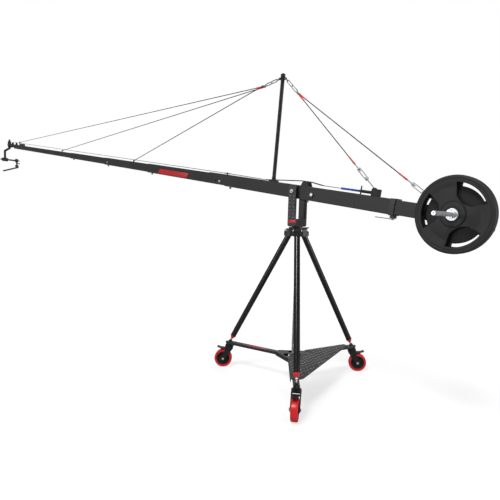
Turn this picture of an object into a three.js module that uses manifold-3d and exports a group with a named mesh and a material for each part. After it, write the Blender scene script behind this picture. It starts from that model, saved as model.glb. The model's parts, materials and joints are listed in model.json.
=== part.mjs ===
// A camera jib crane: a telescopic boom with a guyed mast, balanced in a yoke
// on a three-legged stand with a folding three-arm dolly base.
// Millimetres, +Z up. +X runs along the boom towards its weight, the camera head is at -X.
// The origin is on the column's axis, in the flat underside of the dolly hub.
import * as THREE from 'three';
import { mergeVertices } from 'three/addons/utils/BufferGeometryUtils.js';
import Module from 'manifold-3d';

const wasm = await Module();
wasm.setup();

// Shared values
const overrun = 2;
const weldDistance = 1e-4;
const seatGap = 0.3;
const roundSides = 14;
const smallSides = 8;
const wireSides = 6;
const wheelSides = 20;
const plateSides = 36;
const cornerSteps = 2;
const tubeCornerSteps = 1;
const endSteps = 4;

// Finishes
const finish = (color, roughness, metalness) => ({ color, roughness, metalness });
const blackPaint = finish(0x1b1b1d, 0.45, 0.35);
const blackSatin = finish(0x232326, 0.38, 0.5);
const blackPlastic = finish(0x141415, 0.6, 0);
const plateRubber = finish(0x26272a, 0.62, 0);
const brightSteel = finish(0xc9ccd0, 0.22, 1);
const redRubber = finish(0xd3121f, 0.48, 0);
const steelWire = finish(0x8e9196, 0.4, 0.9);

// Stand: where its three arms and legs point, and its heights above the hub's underside
const frontArmAngle = -48.3;
const legCount = 3;
const armSpacing = 360 / legCount;
const floorClearance = 162;
const crownTop = 862;
const legTopDrop = 69;
const legTopHeight = crownTop - legTopDrop;
const legTopRadius = 66;

// Dolly hub and arms
const sheetWall = 3;
const armWidth = 36;
const armHeight = 20;
const armWall = 2;
const hubSideDistance = 76;
const columnBossDiameter = 40;
const hubWindowInner = 26;
const hubWindowRim = 14;
const hubWindowHalfWidth = 24;
const armRootRadius = 62;
const clevisRadius = 500;
const armEndReach = 26;
const armLength = clevisRadius + armEndReach - armRootRadius;
const armPlugDiameter = 19;
const armPlugLength = 22;
const armPlugRound = 7;

// Leg foot: clevis on the arm, stud with ball, red end cone
const clevisPinHeight = 8;
const clevisEarThickness = 5;
const clevisEarRadius = 8;
const studTongue = 7;
const clevisPinDiameter = 6;
const studBallDiameter = 18;
const studBallHeight = 18.5;
const studRodDiameter = 12;
const coneLowDiameter = 22;
const coneHighDiameter = 41;
const coneStart = 24;
const coneLength = 24;
const coneSpigotLength = 20;
const legDiameter = 38;
const legWall = 2;

// Centre column and crown
const columnDiameter = 14;
const crownDiameter = 86;
const crownHeight = 58;
const crownFlangeHeight = 10;
const crownFlangeDiameter = 104;
const bracketWidth = 48;
const bracketReach = 80;
const bracketChamfer = 12;
const bracketBoltDiameter = 12;
const bracketBoltProud = 4;
const bracketBoltPlace = 70;
const bracketBoltDrop = 22;
const legTopPlay = 26;

// Foot platform between the right and the front arm, seen from above
const platformThickness = 4;
const platformOverhang = 32;
const platformHubGap = 4;
const platformRightGap = 38;
const platformRightSlope = 120;
const platformFrontGap = 55;
const platformFrontSlope = 68;
const platformRightReach = clevisRadius - platformRightGap;
const platformRightInset = clevisRadius - platformRightSlope;
const platformFrontReach = clevisRadius - platformFrontGap;
const platformFrontInset = clevisRadius - platformFrontSlope;
const platformOuterRight = 54;
const platformOuterFront = 42;
const platformLip = 14;

// Casters
const casterOutset = 10;
const casterRadius = clevisRadius + casterOutset;
const casterTrail = 42;
const leftCasterAngle = -138;
const rightCasterAngle = 37.6;
const frontCasterAngle = -57.3;
const wheelDiameter = 125;
const treadWidth = 40;
const treadDepth = 14.5;
const treadRound = 5;
const coreWidth = 36;
const coreDish = 9;
const coreHubDiameter = 34;
const coreRimDepth = 8;
const coreSpokes = 5;
const coreSpokeWidth = 7;
const axleDiameter = 10;
const axleHeadDiameter = 18;
const axleHeadHeight = 5;
const forkGap = 46;
const forkThickness = 4;
const forkHeadDiameter = 58;
const forkHeadHeight = 9;
const forkCrownDepth = 22;
const forkAxleRadius = 17;
const raceDiameter = 44;
const raceHeight = 6;
const pedalWidth = 38;
const pedalLength = 62;
const pedalThickness = 5;
const pedalRise = 9;
const pedalHingeX = 24;
const pedalHingeDrop = 30;
const pedalHingeRadius = 6;
const pedalKnee = 38;
const pedalKneeRise = 3;
const pedalShoePlace = 15;
const pedalShoeWidth = 27;
const pedalShoeLength = 22;
const pedalShoeDepth = 6;

// Yoke
const pivotRise = 227;
const pivotHeight = crownTop + pivotRise;
const yokeArmCentre = 55;
const yokeArmThickness = 12;
const yokeArmWidth = 60;
const yokeArmTop = 38;
const yokeArmCorner = 8;
const yokeHoleSpacing = 40;
const yokeHolePitch = 26;
const yokeHoleDiameter = 6.5;
const yokeHoleRows = 5;
const yokeFirstHole = 58;
const yokeArmFoot = 6;
const yokeArmBottom = crownTop + yokeArmFoot;
const yokeBaseHeight = 50;
const yokeSpigotDiameter = 46;
const yokeSpigotLength = 24;
const yokeWasherDiameter = 72;
const yokeWasherHeight = 3;
const pivotDiameter = 16;
const pivotHeadDiameter = 26;
const pivotHeadHeight = 9;
const lockKnobDiameter = 14;
const lockKnobLength = 12;
const lockKnobDrop = 59;
const panLeverAngle = 30;
const panLeverDiameter = 14;
const panLeverLength = 24;
const panLeverTip = 5;
const panLeverBoss = 12;

// Boom: nested box tubes, each a step smaller; places along it are counted from the pivot
const boomTilt = 8.1;
const mainHeight = 85;
const mainWidth = 72;
const sectionStep = 7;
const mainWall = 3;
const secondWall = 2.5;
const outerWall = 2;
const boomCorner = 3;
const sectionOverlap = 160;
const mouthPad = 36;
const mainFront = -670;
const mainRear = 676;
const secondFront = -1728;
const thirdFront = -2550;
const fourthFront = -3380;
const tipFront = -5330;
const tipSlant = 45;
const pivotBossDiameter = 44;
const wingKnobPlace = 126;
const wingKnobDiameter = 18;
const wingKnobLength = 16;
const topPlateLength = 206;
const topPlateWidth = 44;
const topPlateThickness = 4.2;
const pinHoleDiameter = 14;
const pinHoleBack = 108;
const pinHoleDrop = 12;
const tipHoleDiameter = 16;
const tipHoleInnerPitch = 95;
const tipHoleRuns = [[-3560, 4], [-4130, 4]];
const mouthKnobDiameter = 16;
const mouthKnobLength = 14;
const mouthKnobBack = 28;

// Tail tube, its clamp and the weight
const tailFront = 470;
const tailRear = 1175;
const tailWall = 3;
const tailCapLength = 10;
const collarLength = 27;
const collarThickness = 3;
const collarPlace = 688;
const collarFootDepth = 15;
const collarFootWidth = 30;
const leverDiameter = 5;
const leverLength = 106;
const leverBoss = 9;
const leverDroop = 4;
const weightPlace = 1018;
const weightRise = 12;
const weightDiameter = 372;
const weightThickness = 49;
const weightOffset = 86;
const weightBore = 50;
const weightHubDiameter = 114;
const weightHubProud = 3;
const weightRidge = 4;
const weightRidgeWidth = 12;
const weightRound = 7;
const weightBevel = 10;
const gripOuterShare = 0.82;
const gripSlotShare = 0.72;
const gripInnerShare = 0.33;
const gripCornerShare = 0.17;
const gripHalfAngle = 34;
const gripEntryAngle = 30.6;
const gripSlotHalfAngle = 28;
const gripFirstAngle = 61;
const gripCount = 3;
const gripDepth = 30;
const spindleDiameter = 22;
const spindleReach = 345;
const spindleCollarDiameter = 59;
const spindleCollarHeight = 12;
const spindleFlangeDiameter = 80;
const spindleStepDiameter = 37;
const spindleStepHeight = 7;
const spindleNutDiameter = 34;
const spindleNutHeight = 12;
const spindleCentreHole = 6;
const spindleCentreDepth = 8;

// Mast and rigging, places along and above the boom's middle line
const mastPlace = -222;
const mastDiameter = 25;
const mastWall = 2;
const mastTopPlace = -264;
const mastTopRise = 706;
const mastFootLength = 62;
const mastFootWidth = 34;
const mastFootHeight = 26;
const mastCapHeight = 30;
const mastCapDiameter = 31;
const mastLugReach = 26;
const mastLugThickness = 6;
const mastLugHeight = 24;
const riggingPinDiameter = 6;
const wireDiameter = 6;
const sleeveDiameter = 10;
const sleeveLength = 66;
const ferruleDiameter = 12;
const ferruleLength = 22;
const ringTube = 5;
const ringLength = 44;
const ringWidth = 20;
const riggingEndX = -430;
const riggingEndZ = 665;
const rearRiggingEndX = -110;
const rearRiggingEndZ = 608;
const longStayEnd = [-5172, 70];
const middleStayEnd = [-3694, 40];
const shortStayEnd = [-2034, 44];
const upperStayEnd = [900, 48];
const lowerStayEnd = [536, 82];
const anchorRadius = 7;
const anchorThickness = 6;
const tipBlockLength = 150;
const tipBlockWidth = 30;
const tipBlockHeight = 26;
const tipBlockPlace = -5060;
const tipPegDiameter = 16;
const tipPegLean = 30;
const turnbuckleLength = 92;
const turnbuckleWidth = 22;
const turnbuckleBar = 5;
const turnbuckleNut = 11;
const turnbuckleRod = 6;
const upperTurnbuckleShare = 0.885;
const lowerTurnbuckleShare = 0.86;

// Levelling cables and what guides and anchors them
const cableDiameter = 3.2;
const cableSpacing = 42;
const cableWrapAngle = 24;
const cableWrapSteps = 3;
const cableRise = 60;
const cableGuideRise = 52;
const cableLowPlace = -300;
const cableLowRise = 47;
const humpPlace = 60;
const humpLength = 50;
const humpRise = 73;
const cableDropPlace = 190;
const cableRearRise = 60;
const blueSleeveDiameter = 9;
const blueSleeveStart = 332;
const blueSleeveLength = 100;
const cableTiePlace = 448;
const guidePlace = -692;
const guidePostDiameter = 9;
const guideEye = 7;
const saddleLength = 62;
const saddleThickness = 5;
const saddleWidth = 54;
const tensionBoxPlace = 549;
const tensionBoxLength = 42;
const tensionBoxWidth = 40;
const tensionBoxHeight = 40;
const tensionBarrelDiameter = 18;
const tensionBarrelLength = 68;
const tensionPostDiameter = 8;
const tensionPostHeight = 30;

// Camera head, hung from the boom's tip
const headPinOutset = 55;
const headPinPlace = tipFront - headPinOutset;
const headPinDiameter = 10;
const headPinHead = 16;
const headPinHeadHeight = 5;
const quadrantThickness = 5;
const quadrantGap = 0.4;
const quadrantHub = 17;
const headAxisX = -225;
const headSleeveTop = 96;
const headSleeveBottom = 10;
const headSleeveDiameter = 44;
const headBore = 20;
const headCollarDiameter = 35;
const headKnobDiameter = 24;
const headKnobHeight = 26;
const sideKnobDiameter = 22;
const sideKnobPitch = 41;
const tiltKnobDiameter = 15;
const sideKnobLength = 24;
const hangArmOffset = 62;
const hangArmDiameter = 30;
const hangElbowDrop = 62;
const hangArmDrop = 190;
const knuckleDiameter = 52;
const knuckleLength = 70;
const knucklePoint = 30;
const crossBarDiameter = 22;
const crossBarReach = 94;
const sideBlockDiameter = 54;
const sideBlockLength = 30;
const sidePlateDrop = 92;
const sidePlateWidth = 38;
const sidePlateThickness = 10;
const cameraRoll = 20;
const cameraPlateLength = 216;
const cameraPlateWidth = 64;
const cameraPlateThickness = 8;
const cameraEdgeDepth = 20;
const cameraEdgeThickness = 5;
const cameraSlotWidth = 8;
const cameraSlotLength = 150;
const cameraSlotSpacing = 26;
const rollPinDiameter = 12;
const rollEarRadius = 14;
const rollPlay = 1.5;

const radians = THREE.MathUtils.degToRad;
const sin = (angle) => Math.sin(radians(angle));
const cos = (angle) => Math.cos(radians(angle));
const point = (x, y, z) => new THREE.Vector3(x, y, z);
const AXIS_X = point(1, 0, 0);
const AXIS_Y = point(0, 1, 0);
const AXIS_Z = point(0, 0, 1);

// A fresh three.js geometry keeps only its places, with the shared ones merged
function welded(geometry) {
  geometry.deleteAttribute('normal');
  geometry.deleteAttribute('uv');
  const merged = mergeVertices(geometry, weldDistance);
  const index = merged.index.array;
  const triangles = [];
  for (let i = 0; i < index.length; i += 3) {
    const [a, b, c] = [index[i], index[i + 1], index[i + 2]];
    if (a !== b && b !== c && a !== c) triangles.push(a, b, c);
  }
  merged.setIndex(triangles);
  return merged;
}

function toSolid(geometry) {
  const vertProperties = new Float32Array(geometry.attributes.position.array);
  const triVerts = new Uint32Array(geometry.index.array);
  return new wasm.Manifold(new wasm.Mesh({ numProp: 3, vertProperties, triVerts }));
}

function toGeometry(solid) {
  const mesh = solid.getMesh();
  const geometry = new THREE.BufferGeometry();
  geometry.setAttribute('position', new THREE.BufferAttribute(new Float32Array(mesh.vertProperties), 3));
  geometry.setIndex(new THREE.BufferAttribute(new Uint32Array(mesh.triVerts), 1));
  return geometry;
}

function join(first, ...others) {
  return toGeometry(others.reduce((all, next) => all.add(toSolid(next)), toSolid(first)));
}

function cut(first, ...others) {
  return toGeometry(others.reduce((all, next) => all.subtract(toSolid(next)), toSolid(first)));
}

// Adds one named piece to a group
function addPiece(group, name, shape, look) {
  shape.computeVertexNormals();
  const mesh = new THREE.Mesh(shape, new THREE.MeshStandardMaterial(look));
  mesh.name = name;
  group.add(mesh);
}

function block(x0, x1, y0, y1, z0, z1) {
  const geometry = new THREE.BoxGeometry(x1 - x0, y1 - y0, z1 - z0);
  return welded(geometry.translate((x0 + x1) / 2, (y0 + y1) / 2, (z0 + z1) / 2));
}

// A round bar between two points, or a cone where the end radius differs
function bar(start, end, diameter, sides = roundSides, endDiameter = diameter) {
  const along = end.clone().sub(start);
  const geometry = new THREE.CylinderGeometry(endDiameter / 2, diameter / 2, along.length(), sides);
  const turn = new THREE.Quaternion().setFromUnitVectors(AXIS_Y, along.clone().normalize());
  geometry.applyQuaternion(turn);
  const middle = start.clone().add(end).multiplyScalar(1 / 2);
  return welded(geometry.translate(middle.x, middle.y, middle.z));
}

function ball(centre, diameter, sides = roundSides) {
  const geometry = new THREE.SphereGeometry(diameter / 2, sides, sides / 2);
  return welded(geometry.translate(centre.x, centre.y, centre.z));
}

// A path through corner points, one step to each corner
class CornerPath extends THREE.Curve {
  constructor(corners) {
    super();
    this.corners = corners;
  }

  cornerAt(share) {
    return Math.round(share * (this.corners.length - 1));
  }

  getPointAt(share) {
    return this.corners[this.cornerAt(share)].clone();
  }

  getTangentAt(share) {
    const i = this.cornerAt(share);
    const tangent = point(0, 0, 0);
    for (const [from, to] of [[i - 1, i], [i, i + 1]]) {
      if (from < 0 || to > this.corners.length - 1) continue;
      tangent.add(this.corners[to].clone().sub(this.corners[from]).normalize());
    }
    return tangent.normalize();
  }
}

// A wire or cable through corner points
function wire(corners, diameter, sides = wireSides) {
  const section = new THREE.Shape().absarc(0, 0, diameter / 2, 0, 2 * Math.PI, false);
  const extrudePath = new CornerPath(corners);
  const steps = corners.length - 1;
  return welded(new THREE.ExtrudeGeometry(section,
    { steps, extrudePath, bevelEnabled: false, curveSegments: sides }));
}

// A round piece turned from [radius, place] steps along the line from start towards end
function stepped(start, end, steps, sides = smallSides) {
  const turn = new THREE.Quaternion().setFromUnitVectors(AXIS_Z, end.clone().sub(start).normalize());
  const first = steps[0][1];
  const last = steps[steps.length - 1][1];
  return turned([[0, first], ...steps, [0, last]], sides).applyQuaternion(turn).translate(start.x, start.y,
    start.z);
}

// An outline in the XY plane, raised from z0 to z1
function raise(shape, z0, z1, curveSegments = endSteps) {
  const geometry = new THREE.ExtrudeGeometry(shape, { depth: z1 - z0, bevelEnabled: false, curveSegments });
  return welded(geometry.translate(0, 0, z0));
}

// An outline in the XZ plane, drawn seen from -Y, filling y0 to y1
function slab(shape, y0, y1, curveSegments = endSteps) {
  const geometry = new THREE.ExtrudeGeometry(shape, { depth: y1 - y0, bevelEnabled: false, curveSegments });
  geometry.applyMatrix4(new THREE.Matrix4().makeBasis(AXIS_X, AXIS_Z, point(0, -1, 0)));
  return welded(geometry.translate(0, y1, 0));
}

// An outline in the YZ plane, running from x0 to x1
function run(shape, x0, x1, curveSegments = tubeCornerSteps) {
  const geometry = new THREE.ExtrudeGeometry(shape, { depth: x1 - x0, bevelEnabled: false, curveSegments });
  geometry.applyMatrix4(new THREE.Matrix4().makeBasis(AXIS_Y, AXIS_Z, AXIS_X));
  return welded(geometry.translate(x0, 0, 0));
}

// A closed profile of [radius, height] turned about Z
function turned(profile, sides = roundSides) {
  const points = profile.map(([radius, height]) => new THREE.Vector2(radius, height));
  return welded(new THREE.LatheGeometry(points, sides).rotateX(Math.PI / 2));
}

function polygon(corners) {
  const shape = new THREE.Shape();
  corners.forEach(([x, y], i) => (i === 0 ? shape.moveTo(x, y) : shape.lineTo(x, y)));
  shape.closePath();
  return shape;
}

function roundedRectangle(width, height, radius) {
  const [w, h] = [width / 2, height / 2];
  const shape = new THREE.Shape();
  shape.moveTo(-w + radius, -h);
  shape.lineTo(w - radius, -h);
  shape.absarc(w - radius, -h + radius, radius, -Math.PI / 2, 0, false);
  shape.lineTo(w, h - radius);
  shape.absarc(w - radius, h - radius, radius, 0, Math.PI / 2, false);
  shape.lineTo(-w + radius, h);
  shape.absarc(-w + radius, h - radius, radius, Math.PI / 2, Math.PI, false);
  shape.lineTo(-w, -h + radius);
  shape.absarc(-w + radius, -h + radius, radius, Math.PI, Math.PI * 3 / 2, false);
  return shape;
}

// A round-ended bar outline between two circles on the X axis or anywhere in the plane
function strapOutline(x0, y0, radius0, x1, y1, radius1) {
  const length = Math.hypot(x1 - x0, y1 - y0);
  const heading = Math.atan2(y1 - y0, x1 - x0);
  const spread = Math.acos((radius0 - radius1) / length);
  const shape = new THREE.Shape();
  shape.absarc(x0, y0, radius0, heading + spread, heading - spread + 2 * Math.PI, false);
  shape.absarc(x1, y1, radius1, heading - spread, heading + spread, false);
  shape.closePath();
  return shape;
}

const moved = (shape, matrix) => shape.clone().applyMatrix4(matrix);
const shifted = (shape, x, y, z) => shape.clone().translate(x, y, z);
const turnedX = (shape, angle) => shape.clone().rotateX(radians(angle));
const turnedY = (shape, angle) => shape.clone().rotateY(radians(angle));
const turnedZ = (shape, angle) => shape.clone().rotateZ(radians(angle));

const crane = new THREE.Group();

// Stand
const stand = new THREE.Group();
crane.add(stand);
const armNames = ['front', 'right', 'left'];
const armAngles = armNames.map((_, i) => frontArmAngle + i * armSpacing);
const casterAngles = [frontCasterAngle, rightCasterAngle, leftCasterAngle];
const hubHeight = armHeight + 2 * sheetWall;
const armBottom = sheetWall;
const armTop = armBottom + armHeight;
const hubCornerDistance = 2 * hubSideDistance - (armWidth / 2 + sheetWall + seatGap) * Math.sqrt(3);

// The hub's outline: three long sides between the arms, three short ones across them
function hubOutline(inset) {
  const corners = [];
  const side = hubSideDistance - inset;
  for (const angle of armAngles) {
    const halfWidth = (2 * side - hubCornerDistance) / Math.sqrt(3);
    for (const across of [-halfWidth, halfWidth]) {
      const x = hubCornerDistance * cos(angle) - across * sin(angle);
      const y = hubCornerDistance * sin(angle) + across * cos(angle);
      corners.push([x, y]);
    }
  }
  return polygon(corners);
}

function dollyHub() {
  let hub = raise(hubOutline(0), 0, hubHeight);
  const hollow = raise(hubOutline(sheetWall), armBottom - seatGap, armTop + seatGap);
  const boss = bar(point(0, 0, 0), point(0, 0, hubHeight), columnBossDiameter);
  hub = cut(hub, hollow);
  for (const angle of armAngles) {
    const reach = hubCornerDistance + overrun;
    const half = armWidth / 2 + seatGap;
    const passage = block(armRootRadius, reach, -half, half, armBottom - seatGap, armTop + seatGap);
    const near = hubWindowInner;
    const far = hubSideDistance - hubWindowRim;
    const outline = roundedRectangle(far - near, 2 * hubWindowHalfWidth, hubWindowRim / 2);
    const window = shifted(raise(outline, -overrun, hubHeight + overrun, tubeCornerSteps), (near + far) / 2,
      0, 0);
    hub = cut(hub, turnedZ(passage, angle), turnedZ(window, angle + armSpacing / 2));
  }
  const bore = bar(point(0, 0, hubHeight - sheetWall), point(0, 0, hubHeight + overrun),
    columnDiameter + 2 * seatGap);
  return cut(join(hub, boss), bore);
}

// One arm along +X: box tube, round end plug, swivel pad and the clevis for the leg
function baseArm() {
  const tube = cut(
    run(roundedRectangle(armWidth, armHeight, armWall), armRootRadius, armRootRadius + armLength),
    run(roundedRectangle(armWidth - 2 * armWall, armHeight - 2 * armWall, armWall / 2),
      armRootRadius - overrun, armRootRadius + armLength - armPlugLength),
  );
  const endX = armRootRadius + armLength;
  const plugRadius = armPlugDiameter / 2;
  const plug = turnedY(turned([
    [0, 0], [plugRadius, 0], [plugRadius, armPlugLength - armPlugRound],
    [plugRadius - armPlugRound / 3, armPlugLength - armPlugRound / 3],
    [plugRadius - armPlugRound, armPlugLength], [0, armPlugLength],
  ]), 90);
  const raised = armBottom + armHeight / 2;
  const ears = [-1, 1].map((sideSign) => {
    const inner = studTongue / 2 + seatGap;
    const [y0, y1] = sideSign < 0 ? [-inner - clevisEarThickness, -inner] : [inner,
      inner + clevisEarThickness];
    const ear = new THREE.Shape();
    ear.moveTo(clevisRadius - clevisEarRadius, armHeight / 2 - armWall);
    ear.lineTo(clevisRadius + clevisEarRadius, armHeight / 2 - armWall);
    ear.lineTo(clevisRadius + clevisEarRadius, armHeight / 2 + clevisPinHeight);
    ear.absarc(clevisRadius, armHeight / 2 + clevisPinHeight, clevisEarRadius, 0, Math.PI, false);
    ear.closePath();
    return slab(ear, y0, y1);
  });
  const pinZ = armHeight / 2 + clevisPinHeight;
  const pinHalf = studTongue / 2 + clevisEarThickness + clevisPinDiameter / 3;
  const pin = bar(point(clevisRadius, -pinHalf, pinZ), point(clevisRadius, pinHalf, pinZ), clevisPinDiameter,
    smallSides);
  const arm = join(tube, shifted(plug, endX - armPlugRound, 0, 0), ...ears, pin);
  return shifted(arm, 0, 0, raised);
}

// The leg runs up its own +Z from the clevis pin; its frame leans in to the crown
const clevisZ = armTop + clevisPinHeight;
const legSeen = Math.hypot(clevisRadius - legTopRadius, legTopHeight - clevisZ);
const legRun = legSeen + legTopPlay;
const legLean = Math.atan2(clevisRadius - legTopRadius, legTopHeight - clevisZ);
const coneEnd = coneStart + coneLength;

function legStud() {
  const eye = clevisEarRadius - seatGap;
  const tongue = slab(strapOutline(0, 0, eye, 0, studBallHeight, eye / 2), -studTongue / 2, studTongue / 2);
  const rodTop = coneEnd + coneSpigotLength / 2;
  const rod = bar(point(0, 0, studBallHeight), point(0, 0, rodTop), studRodDiameter, smallSides);
  const stud = join(tongue, ball(point(0, 0, studBallHeight), studBallDiameter, smallSides + 2), rod);
  const bore = clevisPinDiameter + 2 * seatGap;
  return cut(stud, bar(point(0, -studBallDiameter, 0), point(0, studBallDiameter, 0), bore, smallSides));
}

function legCone() {
  const bore = studRodDiameter / 2 + seatGap;
  const spigot = legDiameter / 2 - legWall - seatGap;
  return turned([
    [bore, coneStart + seatGap * 4], [coneLowDiameter / 2, coneStart + seatGap * 4],
    [coneHighDiameter / 2 - legWall / 2, coneEnd - legWall * 2], [coneHighDiameter / 2, coneEnd - legWall],
    [coneHighDiameter / 2, coneEnd], [spigot, coneEnd], [spigot, coneEnd + coneSpigotLength],
    [bore, coneEnd + coneSpigotLength], [bore, coneStart + seatGap * 4],
  ]);
}

function legTube() {
  const [inner, outer] = [legDiameter / 2 - legWall, legDiameter / 2];
  const start = coneEnd + seatGap;
  return turned([[inner, start], [outer, start], [outer, legRun], [inner, legRun], [inner, start]]);
}

function crown() {
  const bottom = crownTop - crownHeight;
  const flange = crownTop - crownFlangeHeight;
  let shape = turned([
    [0, bottom], [crownDiameter / 2, bottom], [crownDiameter / 2, flange],
    [crownFlangeDiameter / 2, flange], [crownFlangeDiameter / 2, crownTop], [0, crownTop],
  ]);
  const bores = [];
  const outline = polygon([
    [0, bottom], [bracketReach, bottom], [bracketReach, flange - bracketChamfer],
    [bracketReach - bracketChamfer, flange + seatGap], [0, flange + seatGap],
  ]);
  for (const angle of armAngles) {
    const place = new THREE.Matrix4().makeRotationZ(radians(angle));
    const half = bracketWidth / 2;
    const boltZ = flange - bracketBoltDrop;
    const bolt = bar(point(bracketBoltPlace, -half - bracketBoltProud, boltZ),
      point(bracketBoltPlace, half + bracketBoltProud, boltZ), bracketBoltDiameter, 6);
    shape = join(shape, moved(slab(outline, -half, half), place), moved(bolt, place));
    place.multiply(new THREE.Matrix4().makeTranslation(clevisRadius, 0, clevisZ));
    place.multiply(new THREE.Matrix4().makeRotationAxis(AXIS_Y, -legLean));
    const bore = legDiameter + 2 * seatGap;
    bores.push(moved(bar(point(0, 0, legSeen - legDiameter), point(0, 0, legRun + seatGap), bore), place));
  }
  const panBore = (yokeSpigotDiameter + 2 * seatGap) / cos(180 / roundSides);
  bores.push(bar(point(0, 0, crownTop - yokeSpigotLength - seatGap), point(0, 0, crownTop + overrun),
    panBore));
  const columnBore = columnDiameter + 2 * seatGap;
  bores.push(bar(point(0, 0, bottom - overrun), point(0, 0, bottom + sheetWall), columnBore));
  return cut(shape, ...bores);
}

// Seen from above, between the right and front arms; its inner edge follows the hub
function footPlatform() {
  const place = (angle, along, across) => [along * cos(angle) - across * sin(angle),
    along * sin(angle) + across * cos(angle)];
  const [front, right] = armAngles;
  const start = hubCornerDistance + platformHubGap;
  const corner = (2 * (hubSideDistance + platformHubGap) - start) / Math.sqrt(3);
  const outline = polygon([
    place(front, start, -platformOverhang),
    place(front, platformFrontReach, -platformOverhang),
    place(front, platformFrontReach, platformOuterFront / 2),
    place(front, platformFrontInset, platformOuterFront),
    place(right, platformRightInset, -platformOuterRight),
    place(right, platformRightReach, -platformOuterRight / 9),
    place(right, platformRightReach, platformOverhang),
    place(right, start, platformOverhang),
    place(right, start, -corner),
    place(front, start, corner),
  ]);
  const plate = raise(outline, armTop + seatGap, armTop + seatGap + platformThickness);
  const lips = [];
  for (const [angle, sign, reach] of [[front, -1, platformFrontReach], [right, 1, platformRightReach]]) {
    const inner = platformOverhang - platformThickness;
    const [y0, y1] = sign < 0 ? [-platformOverhang, -inner] : [inner, platformOverhang];
    lips.push(turnedZ(block(start, reach, y0, y1, armTop - platformLip, armTop + platformThickness), angle));
  }
  return join(plate, ...lips);
}

addPiece(stand, 'dolly_hub', dollyHub(), blackPaint);
addPiece(stand, 'foot_platform', footPlatform(), blackPaint);
addPiece(stand, 'crown', crown(), blackSatin);
const columnFoot = hubHeight - sheetWall + seatGap;
const columnTop = crownTop - crownHeight + sheetWall - seatGap;
addPiece(stand, 'center_column', bar(point(0, 0, columnFoot), point(0, 0, columnTop), columnDiameter),
  brightSteel);

armNames.forEach((name, i) => {
  addPiece(stand, `base_arm_${name}`, turnedZ(baseArm(), armAngles[i]), blackSatin);
  const outward = new THREE.Group();
  outward.rotation.z = radians(armAngles[i]);
  stand.add(outward);
  const leg = new THREE.Group();
  leg.position.set(clevisRadius, 0, clevisZ);
  leg.rotation.y = -legLean;
  outward.add(leg);
  addPiece(leg, `leg_stud_${name}`, legStud(), brightSteel);
  addPiece(leg, `leg_cone_${name}`, legCone(), redRubber);
  addPiece(leg, `leg_tube_${name}`, legTube(), blackSatin);
});

// Casters: the frame is at the swivel axis in the arm's underside, the wheel trails to +X
const axleDrop = floorClearance + armBottom - wheelDiameter / 2;

function casterFork() {
  const head = turned([
    [0, -raceHeight - forkHeadHeight], [forkHeadDiameter / 2, -raceHeight - forkHeadHeight],
    [forkHeadDiameter / 2, -raceHeight], [raceDiameter / 2, -raceHeight], [raceDiameter / 2, -seatGap],
      [0, -seatGap],
  ]);
  const half = forkGap / 2;
  const crownTopZ = -raceHeight - forkHeadHeight + seatGap;
  const outline = new THREE.Shape();
  outline.moveTo(-forkHeadDiameter / 2, crownTopZ);
  outline.lineTo(-forkHeadDiameter / 2, crownTopZ - forkCrownDepth / 2);
  outline.lineTo(casterTrail - forkAxleRadius, -axleDrop);
  outline.absarc(casterTrail, -axleDrop, forkAxleRadius, Math.PI, 2 * Math.PI, false);
  outline.lineTo(forkHeadDiameter / 2, crownTopZ - forkCrownDepth);
  outline.lineTo(forkHeadDiameter / 2, crownTopZ);
  outline.closePath();
  const sides = [-half - forkThickness, half].map((y) => slab(outline, y, y + forkThickness, endSteps));
  const roof = block(-forkHeadDiameter / 2, forkHeadDiameter / 2, -half - forkThickness, half + forkThickness,
    crownTopZ - forkThickness, crownTopZ);
  const axleHalf = half + forkThickness + axleHeadHeight;
  const axle = bar(point(casterTrail, -axleHalf, -axleDrop), point(casterTrail, axleHalf, -axleDrop),
    axleDiameter, smallSides);
  const heads = [-1, 1].map((sign) => bar(
    point(casterTrail, sign * (half + forkThickness / 2), -axleDrop),
    point(casterTrail, sign * axleHalf, -axleDrop), axleHeadDiameter, 6,
  ));
  return join(head, ...sides, roof, axle, ...heads);
}

function wheelTread() {
  const [outer, inner, half] = [wheelDiameter / 2, wheelDiameter / 2 - treadDepth, treadWidth / 2];
  const ring = turned([
    [inner, -half], [outer - treadRound, -half], [outer, -half + treadRound],
    [outer, half - treadRound], [outer - treadRound, half], [inner, half], [inner, -half],
  ], wheelSides);
  return turnedX(ring, 90);
}

function wheelCore() {
  const outer = wheelDiameter / 2 - treadDepth - seatGap;
  const [bore, half, hub] = [axleDiameter / 2 + seatGap, coreWidth / 2, coreHubDiameter / 2];
  const rim = outer - coreRimDepth;
  const hubHalf = forkGap / 2 - seatGap;
  let core = turned([
    [bore, -hubHalf], [hub, -hubHalf], [hub, -half + coreDish], [rim, -half + coreDish],
    [rim, -half], [outer, -half], [outer, half], [rim, half], [rim, half - coreDish], [hub, half - coreDish],
    [hub, hubHalf], [bore, hubHalf], [bore, -hubHalf],
  ], wheelSides);
  const ribs = [];
  for (let i = 0; i < coreSpokes; i += 1) {
    const rib = block(hub - overrun, rim + overrun, -coreSpokeWidth / 2, coreSpokeWidth / 2, -half + seatGap,
      half - seatGap);
    ribs.push(turnedZ(rib, i * 360 / coreSpokes));
  }
  core = join(core, ...ribs);
  return turnedX(core, 90);
}

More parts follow.
